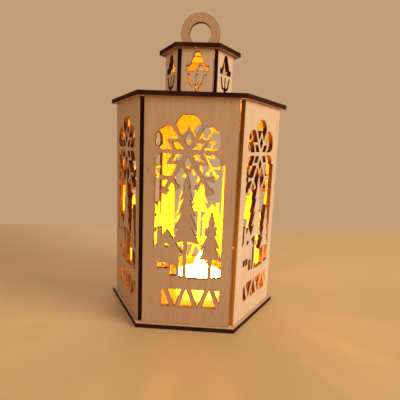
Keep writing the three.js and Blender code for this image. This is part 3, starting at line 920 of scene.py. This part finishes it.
@dataclass(frozen=True)
class PaintedGlowCupFinish:
    """Thin white moulding with painted glow: a bright dished top standing in for the flame's light
    on it, and faintly glowing sides.

    Attributes:
        top: Height of the cup's top, in metres.
        strength: How brightly the dish glows.
        side: The sides' share of that glow.
        dish_from: How far below the top the dish's glow starts.
        dish_full: How far below the top it is full.
        upward: How far a face must face up to be part of the dish.
        cloud: The noise between the sides' dim and bright glow.
        dim: The dim glow's linear colour.
        bright: The bright glow's linear colour.
        dish: The dish's linear colour.
        relief: Depth of the bump.
        bump: How strongly the bump shows.
    """

    top: float
    strength: float
    side: float
    dish_from: float = 4 * MM
    dish_full: float = 2 * MM
    upward: Span = Span(0.2, 0.8)
    cloud: Grain = Grain((90.0, 90.0, 45.0))
    dim: Triple = (1.0, 0.5, 0.008)
    bright: Triple = (1.0, 0.6, 0.014)
    dish: Tone = (1.0, 0.6, 0.018, 1.0)
    relief: float = 0.03 * MM
    bump: float = 0.35

    def material(self, effects: Effects) -> bpy.types.Material:
        """Builds the material from the shared moulding texture, with the glow laid over it.

        Args:
            effects: The shared effect groups.

        Returns:
            The finished material.
        """
        made, graph, shader = new_material("painted_glow_moulding")
        parts = effects.plastic.place(graph, Base=WHITE_PLASTIC, Dirt=WHITE_DIRT)
        surface(graph, shader, parts, self.relief, self.bump)
        place = graph.place()
        normal = graph.node("ShaderNodeTexCoord").outputs["Normal"]
        height = Span(self.top - self.dish_from, self.top - self.dish_full)
        upper = graph.remap(graph.split(place)[2], height)
        dish = graph.times(upper, graph.remap(graph.split(normal)[2], self.upward))
        dim = (*(self.side * value for value in self.dim), 1.0)
        bright = (*(self.side * value for value in self.bright), 1.0)
        sides = graph.mix(graph.noise(place, self.cloud), dim, bright)
        graph.feed(shader.inputs["Emission Color"], graph.mix(dish, sides, self.dish))
        shader.inputs["Emission Strength"].default_value = self.strength
        return made


@dataclass(frozen=True)
class FlameFinish:
    """Frosted diffuser that glows from the LED in its lower half.

    Attributes:
        foot: Height of the diffuser's neck, in metres.
        tip: Height of its tip, in metres.
        strength: How brightly it glows.
        low_glow: Linear colour of the glow at the neck.
        high_glow: Linear colour of the glow at the tip.
        subsurface: How much light goes into it.
        radius: How far red, green and blue light go into it.
        relief: Depth of the bump.
        bump: How strongly the bump shows.
    """

    foot: float
    tip: float
    strength: float
    low_glow: Tone = (1.0, 0.62, 0.02, 1.0)
    high_glow: Tone = (1.0, 0.57, 0.018, 1.0)
    subsurface: float = 0.3
    radius: Triple = (2.0 * MM, 1.4 * MM, 0.7 * MM)
    relief: float = 0.04 * MM
    bump: float = 0.4

    def material(self, effects: Effects) -> bpy.types.Material:
        """Builds the material: the glow runs from pale gold low down to amber at the tip.

        Args:
            effects: The shared effect groups.

        Returns:
            The finished material.
        """
        made, graph, shader = new_material("flame_glow")
        parts = effects.plastic.place(graph, Base=tone(255, 236, 190), Dirt=tone(255, 214, 150))
        surface(graph, shader, parts, self.relief, self.bump)
        rise = graph.remap(graph.split(graph.place())[2], Span(self.foot, self.tip))
        glow = graph.mix(rise, self.low_glow, self.high_glow)
        graph.feed(shader.inputs["Emission Color"], glow)
        shader.inputs["Emission Strength"].default_value = self.strength
        shader.inputs["Subsurface Weight"].default_value = self.subsurface
        shader.inputs["Subsurface Radius"].default_value = self.radius
        return made


@dataclass(frozen=True)
class SteelFinish:
    """Plated steel.

    Attributes:
        name: Material name.
        base: The plating's tone.
        relief: Depth of the bump.
        strength: How strongly the bump shows.
    """

    name: str
    base: Tone
    relief: float = 0.01 * MM
    strength: float = 0.3

    def material(self, effects: Effects) -> bpy.types.Material:
        """Builds the material from the shared steel texture.

        Args:
            effects: The shared effect groups.

        Returns:
            The finished material.
        """
        made, graph, shader = new_material(self.name)
        parts = effects.steel.place(graph, Base=self.base)
        surface(graph, shader, parts, self.relief, self.strength)
        shader.inputs["Metallic"].default_value = 1.0
        return made


def dress(node: bpy.types.Object, material: bpy.types.Material) -> None:
    """Gives a CAD node its finish.

    Args:
        node: The CAD node's object.
        material: Its material.
    """
    node.data.materials.clear()
    node.data.materials.append(material)
    LOG.info("dressed %s with %s", node.name, material.name)


def link(made: bpy.types.Object) -> bpy.types.Object:
    """Puts an object into the scene and returns it."""
    bpy.context.scene.collection.objects.link(made)
    return made


def mesh_piece(
    name: str, shape: bmesh.types.BMesh, material: bpy.types.Material, body: str
) -> bpy.types.Object:
    """Turns a bmesh into a piece that rides on a body.

    Args:
        name: The piece's name.
        shape: Its shape in metres, in the row frame.
        material: Its material.
        body: The CAD body that it moves with.

    Returns:
        The new object.
    """
    mesh = bpy.data.meshes.new(name)
    bmesh.ops.recalc_face_normals(shape, faces=shape.faces)
    shape.to_mesh(mesh)
    shape.free()
    mesh.materials.append(material)
    for polygon in mesh.polygons:
        polygon.use_smooth = True
    made = link(bpy.data.objects.new(name, mesh))
    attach(made, body)
    LOG.info("built %s with %d faces on %s", name, len(mesh.polygons), body)
    return made


@dataclass(frozen=True)
class Turning:
    """Turns closed profiles of radius and height round an upright axis.

    Attributes:
        centre: Foot of the axis.
        steps: Steps round the turn.
        bend: How far the highest point leans along X.
        bend_from: Height at which the lean starts.
    """

    centre: Vector
    steps: int
    bend: float = 0.0
    bend_from: float = 0.0

    def shape(self, profile: Profile) -> bmesh.types.BMesh:
        """Turns a profile.

        Args:
            profile: Points of radius and height above the centre. A radius of 0 is a pole.

        Returns:
            The closed shape.
        """
        shape = bmesh.new()
        top = max(height for _, height in profile)
        rings: list[list[bmesh.types.BMVert]] = []
        for radius, height in profile:
            rise = max(0.0, (height - self.bend_from) / (top - self.bend_from))
            lean = self.bend * rise * rise
            ring = []
            for k in range(1 if radius == 0 else self.steps):
                angle = 2 * math.pi * k / self.steps
                x, y = radius * math.cos(angle) + lean, radius * math.sin(angle)
                ring.append(shape.verts.new(self.centre + Vector((x, y, height))))
            rings.append(ring)
        pairs = list(zip(rings, rings[1:]))
        if profile[0][0] > 0 and profile[-1][0] > 0:
            pairs.append((rings[-1], rings[0]))
        for low, high in pairs:
            for k in range(self.steps):
                places = ((low, k), (low, k + 1), (high, k + 1), (high, k))
                unique = list(dict.fromkeys(ring[step % len(ring)] for ring, step in places))
                if len(unique) > 2:
                    shape.faces.new(unique)
        return shape


def arc(
    centre: tuple[float, float], radius: float, start: float, end: float, steps: int
) -> Profile:
    """Points along an arc of a profile.

    Args:
        centre: Radius and height of the arc's centre.
        radius: The arc's radius.
        start: First angle in degrees.
        end: Last angle in degrees.
        steps: Number of stretches.

    Returns:
        The points, both ends included.
    """
    angles = [math.radians(start + (end - start) * k / steps) for k in range(steps + 1)]
    return [(centre[0] + radius * math.cos(a), centre[1] + radius * math.sin(a)) for a in angles]


@dataclass
class GlueSeams:
    """Dabs of wood glue, squeezed out and dried, down the inner corners between walls.

    Attributes:
        bead: A dab's radius at its thickest.
        inset: How far its middle lies inside the corner.
        step: Length of one ring of a dab.
        fewest: Fewest rings of a dab.
        sections: Points round a ring.
        shortest: Length of the shortest dab.
        longest: Length of the longest dab.
        gap: Mean stretch without glue between two dabs.
        gap_spread: Least and greatest share of it.
        slim: Least share of the bead's radius that is left after shrinking.
        end: Share of the radius at a dab's ends.
        blunt: Power that makes the ends blunt; lower is blunter.
        margin: Share of the length at which the ends' radius is taken.
    """

    bead: float = 0.85 * MM
    inset: float = 0.45 * MM
    step: float = 1.2 * MM
    fewest: int = 4
    sections: int = 8
    shortest: float = 18 * MM
    longest: float = 44 * MM
    gap: float = 1.6 * MM
    gap_spread: tuple[float, float] = (0.4, 1.6)
    slim: float = 0.85
    end: float = 0.25
    blunt: float = 0.45
    margin: float = 0.02

    def material(self) -> bpy.types.Material:
        """Builds the dried glue: yellowish, half clear and glossy.

        Returns:
            The finished material.
        """
        made, graph, shader = new_material("dried_glue")
        cloud = graph.noise(graph.place(), Grain((500.0, 500.0, 160.0)))
        brown = Layer(tone(152, 104, 60), Span(0.35, 0.7))
        parts = {
            "Colour": brown.over(graph, cloud, tone(188, 146, 96)),
            "Roughness": graph.remap(cloud, Span(0.3, 0.8, 0.28, 0.5)),
            "Height": cloud,
        }
        surface(graph, shader, parts, relief=0.1 * MM, strength=0.4)
        return made

    def dab(
        self,
        shape: bmesh.types.BMesh,
        centre: Vector,
        foot: float,
        head: float,
        draw: random.Random,
    ) -> None:
        """Adds one closed dab to a seam.

        Args:
            shape: The seam's shape.
            centre: The corner's axis at floor level.
            foot: The dab's lower end.
            head: Its upper end.
            draw: The seam's random numbers.
        """
        rings = max(self.fewest, round((head - foot) / self.step))
        turns = [2 * math.pi * s / self.sections for s in range(self.sections)]
        loops = []
        for i in range(rings + 1):
            share = i / rings
            inside = min(max(share, self.margin), 1 - self.margin)
            full = math.sin(math.pi * inside) ** self.blunt
            taper = self.end + (1 - self.end) * full
            radius = self.bead * taper * draw.uniform(self.slim, 1.0)
            height = foot + (head - foot) * share
            loops.append([
                shape.verts.new(
                    centre + Vector((radius * math.cos(turn), radius * math.sin(turn), height))
                )
                for turn in turns
            ])
        for low, high in zip(loops, loops[1:]):
            for s in range(self.sections):
                t = (s + 1) % self.sections
                shape.faces.new([low[s], low[t], high[t], high[s]])
        shape.faces.new(loops[0])
        shape.faces.new(loops[-1])

    def run(
        self,
        prefix: str,
        apothem: float,
        foot: float,
        head: float,
        body: str,
        material: bpy.types.Material,
    ) -> None:
        """Runs dabs up each of the six corners.

        Args:
            prefix: Start of the pieces' names.
            apothem: Distance of the walls' inner faces from the axis.
            foot: Height above which the glue stays.
            head: Height below which it stays.
            body: The body that it rides on.
            material: The glue's material.
        """
        corner = apothem / math.cos(math.pi / len(SIDES)) - self.inset
        for k in range(len(SIDES)):
            draw = random.Random(f"{prefix}{k}")
            angle = side_turn(k)
            centre = Vector((corner * math.cos(angle), corner * math.sin(angle), 0.0))
            shape = bmesh.new()
            low = foot + draw.uniform(0.0, self.gap)
            while low < head - self.shortest:
                high = min(head, low + draw.uniform(self.shortest, self.longest))
                self.dab(shape, centre, low, high, draw)
                low = high + draw.uniform(*self.gap_spread) * self.gap
            mesh_piece(f"{prefix}{k}", shape, material, body)


@dataclass
class Shell:
    """Base plate and six fretwork walls.

    Attributes:
        effects: The shared effect groups.
        nodes: The CAD nodes by name.
        seams: Runs the glue.
        glue: The glue's material.
        seam_margin: How far the glue stays from the plates.
        first_seed: Seed of the front wall's veneer.
        seed_step: From one wall's seed to the next.
        base_seed: Seed of the base plate's veneer.
        painted_glow_side: The wall whose left end gets painted glow in place of char.
        opening_painted_glow: How much painted glow the edges of the walls' openings get.
        soot_and_painted_light: How far the inner faces darken, with laser smoke and painted shade.
        painted_light_and_shade: Share and tone of painted shade on the front and front-left walls
            and of painted light on the front-right wall.
    """

    effects: Effects
    nodes: dict[str, bpy.types.Object]
    seams: GlueSeams
    glue: bpy.types.Material
    seam_margin: float = 10 * MM
    first_seed: float = 6.7
    seed_step: float = 0.37
    base_seed: float = 3.1
    painted_glow_side: str = "front_right"
    opening_painted_glow: float = 0.09
    soot_and_painted_light: float = 0.6
    # Painted shade on the front and front-left walls and painted light on the front-right wall, for
    # how the lamps fall on them.
    painted_light_and_shade: dict[str, tuple[float, Tone]] = field(
        default_factory=lambda: {
            "front": (0.3, YELLOWED_AND_PAINTED_SHADE),
            "front_left": (0.15, YELLOWED_AND_PAINTED_SHADE),
            "front_right": (0.15, PAINTED_LIGHT_PALE),
        }
    )

    def build(self) -> None:
        """Dresses the plates and runs the glue."""
        inner = -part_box("wall_front")[1].y
        for k, side in enumerate(SIDES):
            shade, tint_and_painted_light = self.painted_light_and_shade.get(side, (0.0, YELLOWED_AND_PAINTED_SHADE))
            finish = PlyFinish(
                f"ply_wall_{side}",
                turn=side_turn(k),
                inner=inner,
                seed=self.first_seed + self.seed_step * k,
                # The left end of one wall and the edges of all openings get painted glow.
                amber=float(side == self.painted_glow_side),
                opening_painted_glow=self.opening_painted_glow,
                shade=shade,
                tint_and_painted_light=tint_and_painted_light,
                soot_and_painted_light=self.soot_and_painted_light,
            )
            dress(self.nodes[f"wall_{side}"], finish.material(self.effects))
        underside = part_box("base_plate")[0].z
        base = PlyFinish("ply_base", turn=0.0, inner=underside, seed=self.base_seed, lying=True)
        dress(self.nodes["base_plate"], base.material(self.effects))
        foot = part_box("base_plate")[1].z + self.seam_margin
        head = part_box("roof_plate")[0].z - self.seam_margin
        self.seams.run("wall_glue_", inner, foot, head, "shell", self.glue)


@dataclass
class Lid:
    """Roof plate, cupola, cap and carrying ring, which lift off together.

    Attributes:
        effects: The shared effect groups.
        nodes: The CAD nodes by name.
        seams: Runs the glue.
        glue: The glue's material.
        seam_margin: How far the glue stays from the plates.
        wall_seed: Seed of the front cupola wall's veneer.
        wall_seed_step: From one wall's seed to the next.
        wall_painted_glow: How far the walls' inner faces go to their own paler tone, a painted
            glow.
        wall_painted_glow_tone: That tone, a painted glow.
        plate_seed: Seed of the roof plate's veneer.
        plate_seed_step: From one plate's seed to the next.
        shades: How far each plate's veneer goes towards a darker, browner tone.
        cap_painted_shade: How far the cap's underside darkens, a painted shade.
    """

    effects: Effects
    nodes: dict[str, bpy.types.Object]
    seams: GlueSeams
    glue: bpy.types.Material
    seam_margin: float = 1.5 * MM
    wall_seed: float = 5.2
    wall_seed_step: float = 0.23
    # The cupola walls' inner faces are made paler and yellower as painted glow.
    wall_painted_glow: float = 0.9
    wall_painted_glow_tone: Tone = tone(234, 210, 128)
    plate_seed: float = 7.3
    plate_seed_step: float = 0.9
    shades: dict[str, float] = field(
        default_factory=lambda: {"roof_plate": 0.05, "cupola_cap": 0.05, "carrying_ring": 0.5}
    )
    # The cap's underside is darkened as painted shade.
    cap_painted_shade: float = 0.65

    def build(self) -> None:
        """Dresses the pieces and runs the cupola's glue."""
        inner = -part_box("cupola_front")[1].y
        for k, side in enumerate(SIDES):
            finish = PlyFinish(
                f"ply_cupola_{side}",
                turn=side_turn(k),
                inner=inner,
                seed=self.wall_seed + self.wall_seed_step * k,
                soot_and_painted_light=self.wall_painted_glow,
                inside=self.wall_painted_glow_tone,
            )
            dress(self.nodes[f"cupola_{side}"], finish.material(self.effects))
        for k, (name, shade) in enumerate(self.shades.items()):
            low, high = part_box(name)
            lying = name != "carrying_ring"
            finish = PlyFinish(
                f"ply_{name}",
                turn=0.0,
                inner=low.z if lying else -high.y,
                seed=self.plate_seed + self.plate_seed_step * k,
                lying=lying,
                shade=shade,
                soot_and_painted_light=self.cap_painted_shade if name == "cupola_cap" else 0.0,
            )
            dress(self.nodes[name], finish.material(self.effects))
        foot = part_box("roof_plate")[1].z + self.seam_margin
        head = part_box("cupola_cap")[0].z - self.seam_margin
        self.seams.run("cupola_glue_", inner, foot, head, "lid", self.glue)


@dataclass
class TeaLight:
    """Battery tea light: moulded cup with a dished top, flame diffuser and the works inside.

    Attributes:
        effects: The shared effect groups.
        nodes: The CAD nodes by name.
        wall: Thickness of the cup's wall.
        rim: Radius of its rim.
        rim_steps: Stretches of the rim's arc.
        draft: How much narrower the cup is at its top.
        dish: Depth of the dished top.
        dish_shares: Where the dish's points lie between its rim and the flame's hole.
        dish_power: Power of the dish's slope; higher is flatter in the middle.
        foot_ease: Width and height of the bevel round the cup's foot.
        flame_hole: Radius of the hole that the flame stands in.
        hole_ease: Width of the bevel round the hole.
        hole_drop: Height of that bevel.
        neck: Radius of the flame diffuser's neck.
        neck_rise: Height of the neck above the dish.
        belly: Radius of its belly.
        belly_height: The belly's height, as a share of the diffuser's above its neck.
        swell_shares: Where the points between neck and belly lie.
        taper_steps: Stretches between belly and tip.
        taper_power: Power of the taper; lower keeps it fuller.
        taper_slim: How much slimmer the taper gets towards the tip.
        flange: Radius of its flange.
        flange_height: Thickness of the flange.
        bore: Radius of the bore that the LED stands in.
        bore_heights: Heights of the bore's tip, of its slope and of its wall's upper end.
        bore_slope: Share of the bore's radius at the slope.
        lean: How far the flame's tip leans.
        glow: How brightly the flame glows.
        dish_glow: How brightly the dish glows.
        side_glow: How brightly the cup's sides glow.
        steps: Steps round a turned shape.
    """

    effects: Effects
    nodes: dict[str, bpy.types.Object]
    wall: float = 1.2 * MM
    rim: float = 0.8 * MM
    rim_steps: int = 10
    draft: float = 0.4 * MM
    dish: float = 2.2 * MM
    dish_shares: tuple[float, ...] = (0.06, 0.14, 0.24, 0.36, 0.5, 0.66, 0.82)
    dish_power: int = 3
    foot_ease: float = 0.3 * MM
    flame_hole: float = 4.7 * MM
    hole_ease: float = 0.3 * MM
    hole_drop: float = 0.25 * MM
    neck: float = 4.4 * MM
    neck_rise: float = 0.6 * MM
    belly: float = 5.2 * MM
    belly_height: float = 0.28
    swell_shares: tuple[float, ...] = (0.0, 0.2, 0.4, 0.6, 0.8, 1.0)
    taper_steps: int = 20
    taper_power: float = 0.85
    taper_slim: float = 0.25
    flange: float = 6.3 * MM
    flange_height: float = 0.9 * MM
    bore: float = 2.9 * MM
    bore_heights: Triple = (11 * MM, 10.4 * MM, 8.6 * MM)
    bore_slope: float = 0.7
    lean: float = 1.2 * MM
    glow: float = 420.0
    dish_glow: float = 400.0
    side_glow: float = 6.5
    steps: int = 96

    def build(self) -> None:
        """Dresses the inner pieces and models the cup and the flame."""
        side = self.side_glow / self.dish_glow
        # The cup's glow is painted light: the moulding holds no lamp.
        painted_cup_glow = PaintedGlowCupFinish(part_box("tealight_housing")[1].z, self.dish_glow, side)
        white = PlasticFinish("white_moulding", WHITE_PLASTIC, WHITE_DIRT, subsurface=0.15)
        lens = PlasticFinish(
            "clear_lens", tone(255, 222, 160), tone(240, 190, 110), subsurface=0.2, coat=0.6
        )
        black = PlasticFinish("black_moulding", tone(38, 38, 41), tone(70, 66, 60))
        steel = SteelFinish("plated_strip", tone(196, 196, 194))
        cell = SteelFinish("cell_can", tone(208, 209, 208))
        finishes = (
            (white, "white_plastic", ("tealight_base", "battery_door")),
            (
                steel,
                "spring_steel",
                ("battery_door_screw", "contact_negative", "contact_positive", "switch_case"),
            ),
            (cell, "cell_steel", ("coin_cell",)),
            (lens, "led_lens", ("led",)),
            (black, "black_plastic", ("switch_slider",)),
        )
        for finish, slot, names in finishes:
            material = finish.material(self.effects)
            for name in names:
                dress(self.nodes[name], material)
        self.cup(painted_cup_glow.material(self.effects))
        self.flame()

    def cup(self, material: bpy.types.Material) -> None:
        """Models the cup in place of its plain solid.

        Args:
            material: The white moulding's material.
        """
        low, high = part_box("tealight_housing")
        centre = Vector(((low.x + high.x) / 2, (low.y + high.y) / 2, low.z))
        outer = (high.x - low.x) / 2
        height = high.z - low.z
        top = outer - self.draft
        floor = height - self.dish
        under = floor - self.wall
        brink = top - 2 * self.rim
        bowl = [
            (
                brink - (brink - self.flame_hole) * share,
                floor + (self.dish - self.rim) * (1 - share) ** self.dish_power,
            )
            for share in self.dish_shares
        ]
        profile = [
            (outer - self.foot_ease, 0.0),
            (outer, self.foot_ease),
            *arc((top - self.rim, height - self.rim), self.rim, 0, 180, self.rim_steps),
            *bowl,
            (self.flame_hole + self.hole_ease, floor),
            (self.flame_hole, floor - self.hole_drop),
            (self.flame_hole, under),
            (top - self.wall, under),
            (outer - self.wall, 0.0),
        ]
        shape = Turning(centre, self.steps).shape(profile)
        piece = mesh_piece("tealight_cup", shape, material, "tealight")
        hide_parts("tealight_housing")

    def flame(self) -> None:
        """Models the flame diffuser in place of its plain solid."""
        low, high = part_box("tealight_flame")
        cup_low, cup_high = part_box("tealight_housing")
        centre = Vector(((cup_low.x + cup_high.x) / 2, (cup_low.y + cup_high.y) / 2, low.z))
        height = high.z - low.z
        neck_top = cup_high.z - self.dish - low.z + self.neck_rise
        belly = neck_top + (height - neck_top) * self.belly_height
        bore_tip, bore_slope, bore_wall = self.bore_heights
        profile = [
            (0.0, bore_tip),
            (self.bore * self.bore_slope, bore_slope),
            (self.bore, bore_wall),
            (self.bore, 0.0),
            (self.flange, 0.0),
            (self.flange, self.flange_height),
            (self.neck, self.flange_height),
        ]
        for share in self.swell_shares:
            swell = (self.belly - self.neck) * math.sin(share * math.pi / 2)
            profile.append((self.neck + swell, neck_top + (belly - neck_top) * share))
        for k in range(1, self.taper_steps):
            share = k / self.taper_steps
            fullness = math.cos(share * math.pi / 2) ** self.taper_power
            radius = self.belly * fullness * (1 - self.taper_slim * share)
            profile.append((radius, belly + (height - belly) * share))
        profile.append((0.0, height))
        finish = FlameFinish(low.z + neck_top, high.z, self.glow)
        shape = Turning(centre, self.steps, self.lean, bore_tip).shape(profile)
        piece = mesh_piece("flame_bulb", shape, finish.material(self.effects), "tealight")
        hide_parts("tealight_flame")


@dataclass(frozen=True)
class Lamp:
    """A square soft lamp aimed at the lantern.

    Attributes:
        name: The lamp's name.
        place: Where it stands, in metres.
        size: Side of the square in metres.
        power: Power in watts.
        colour: Its colour.
        target: What it is aimed at.
    """

    name: str
    place: Triple
    size: float
    power: float
    colour: Triple
    target: Triple = (0.0, 0.0, 0.1)

    def build(self) -> None:
        """Adds the lamp to the scene."""
        data = bpy.data.lights.new(self.name, "AREA")
        data.size = self.size
        data.energy = self.power
        data.color = self.colour
        made = link(bpy.data.objects.new(self.name, data))
        made.location = self.place
        aim = Vector(self.target) - made.location
        made.rotation_euler = aim.to_track_quat("-Z", "Y").to_euler()


@dataclass
class Studio:
    """Plain pale floor and world, soft lamps, and the camera at the photograph's viewing angle.

    Attributes:
        eye: Camera position in metres.
        yaw: Turn of the view to the right of +Y, in radians.
        pitch: Tilt of the view above the horizon.
        roll: Roll of the camera.
        lens: Focal length in millimetres, for the sensor below.
        sensor: Width of the sensor in millimetres.
        clip_start: How near to the camera things start to show.
        table_size: Width, depth and thickness of the table top, in metres.
        table_behind: How far it reaches behind the lantern's middle.
        table_turn: Its turn, in radians.
        table_round: Radius of its softened edges.
        table_steps: Stretches of that rounding.
        floor_tone: Screen colour of the floor.
        floor_patch: Screen colour of its darker patches.
        floor_cloud: The patches' noise.
        floor_share: Greatest share of the patches' colour.
        floor_rough: The floor's roughness.
        floor_sheen: Its specular level.
        world_tone: Screen colour of the world's light.
        sky_tone: Screen colour of the background that is seen.
        sky_light: Strength of the world's light.
        lamps: The soft lamps.
    """

    eye: Vector = field(default_factory=lambda: Vector((17.76, -274.34, 125.39)) * MM)
    yaw: float = -0.0487
    pitch: float = -0.1621
    roll: float = 0.0400
    lens: float = 31.26
    sensor: float = 36.0
    clip_start: float = 0.01
    table_size: Triple = (1.3, 1.0, 0.018)
    table_behind: float = 0.232
    table_turn: float = 0.12
    table_round: float = 0.003
    table_steps: int = 5
    floor_tone: tuple[int, int, int] = (215, 170, 110)
    floor_patch: tuple[int, int, int] = (198, 154, 101)
    floor_cloud: Grain = Grain((9.0, 9.0, 9.0), detail=3.0)
    floor_share: float = 0.5
    floor_rough: float = 0.55
    floor_sheen: float = 0.25
    world_tone: tuple[int, int, int] = (255, 246, 236)
    sky_tone: tuple[int, int, int] = (194, 158, 120)
    sky_light: float = 0.42
    lamps: tuple[Lamp, ...] = (
        Lamp("key", (1.6, -0.55, 0.8), 1.0, 30.0, (0.96, 1.0, 1.06)),
        Lamp("fill", (-0.3, -1.8, 0.6), 1.4, 6.0, (1.0, 0.96, 0.92)),
        Lamp("rear", (-0.4, 1.7, 1.2), 1.2, 8.0, (1.0, 0.97, 0.94)),
    )

    def camera(self) -> None:
        """Makes the camera and gives it to the scene."""
        level = math.cos(self.pitch)
        ahead = Vector(
            (math.sin(self.yaw) * level, math.cos(self.yaw) * level, math.sin(self.pitch))
        )
        right = Vector((math.cos(self.yaw), -math.sin(self.yaw), 0.0))
        up = right.cross(ahead)
        side = right * math.cos(self.roll) + up * math.sin(self.roll)
        top = up * math.cos(self.roll) - right * math.sin(self.roll)
        data = bpy.data.cameras.new("camera")
        data.lens = self.lens
        data.sensor_width = self.sensor
        data.clip_start = self.clip_start
        made = link(bpy.data.objects.new("camera", data))
        axes = Matrix((side, top, -ahead)).transposed()
        made.matrix_world = Matrix.Translation(self.eye) @ axes.to_4x4()
        bpy.context.scene.camera = made

    def floor(self) -> None:
        """Makes the floor, a plain table top with soft edges that ends behind the lantern."""
        width, depth, sheet = self.table_size
        shape = bmesh.new()
        bmesh.ops.create_cube(shape, size=1.0)
        centre = Vector((0.0, self.table_behind - depth / 2, -sheet / 2))
        place = Matrix.Rotation(self.table_turn, 4, "Z") @ Matrix.Translation(centre)
        size = Matrix.Diagonal((width, depth, sheet, 1.0))
        bmesh.ops.transform(shape, matrix=place @ size, verts=shape.verts)
        bmesh.ops.bevel(
            shape,
            geom=list(shape.edges),
            offset=self.table_round,
            segments=self.table_steps,
            profile=0.5,
            affect="EDGES",
        )
        bmesh.ops.recalc_face_normals(shape, faces=shape.faces)
        mesh = bpy.data.meshes.new("floor")
        shape.to_mesh(mesh)
        shape.free()
        mesh.materials.append(self.floor_material())
        link(bpy.data.objects.new("floor", mesh))

    def floor_material(self) -> bpy.types.Material:
        """Builds the floor's plain pale material.

        Returns:
            The finished material.
        """
        material, graph, shader = new_material("pale_floor")
        share = graph.times(graph.noise(graph.place(), self.floor_cloud), self.floor_share)
        colour = graph.mix(share, tone(*self.floor_tone), tone(*self.floor_patch))
        graph.feed(shader.inputs["Base Color"], colour)
        shader.inputs["Roughness"].default_value = self.floor_rough
        shader.inputs["Specular IOR Level"].default_value = self.floor_sheen
        return material

    def world(self) -> None:
        """Lights evenly, and shows a pale background to the camera and to reflections."""
        world = bpy.data.worlds.new("studio")
        world.use_nodes = True
        graph = Graph(world.node_tree)
        shader = next(n for n in world.node_tree.nodes if n.type == "BACKGROUND")
        path = graph.node("ShaderNodeLightPath").outputs
        seen = graph.math("MAXIMUM", path["Is Camera Ray"], path["Is Glossy Ray"])
        seen = graph.math("MAXIMUM", seen, path["Is Transmission Ray"])
        colour = graph.mix(seen, tone(*self.world_tone), tone(*self.sky_tone))
        graph.feed(shader.inputs["Color"], colour)
        strength = graph.remap(seen, Span(0.0, 1.0, self.sky_light, 1.0))
        graph.feed(shader.inputs["Strength"], strength)
        bpy.context.scene.world = world

    def build(self) -> None:
        """Builds the whole studio."""
        self.camera()
        self.floor()
        for lamp in self.lamps:
            lamp.build()
        self.world()
        bpy.context.scene.view_settings.view_transform = "Standard"


def main() -> None:
    """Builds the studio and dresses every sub-assembly in order."""
    logging.basicConfig(level=logging.INFO, format="%(name)s: %(message)s")
    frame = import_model()
    effects = Effects()
    seams = GlueSeams()
    glue = seams.material()
    Studio().build()
    Shell(effects, frame["nodes"], seams, glue).build()
    Lid(effects, frame["nodes"], seams, glue).build()
    TeaLight(effects, frame["nodes"]).build()


if __name__ == "__main__":
    main()
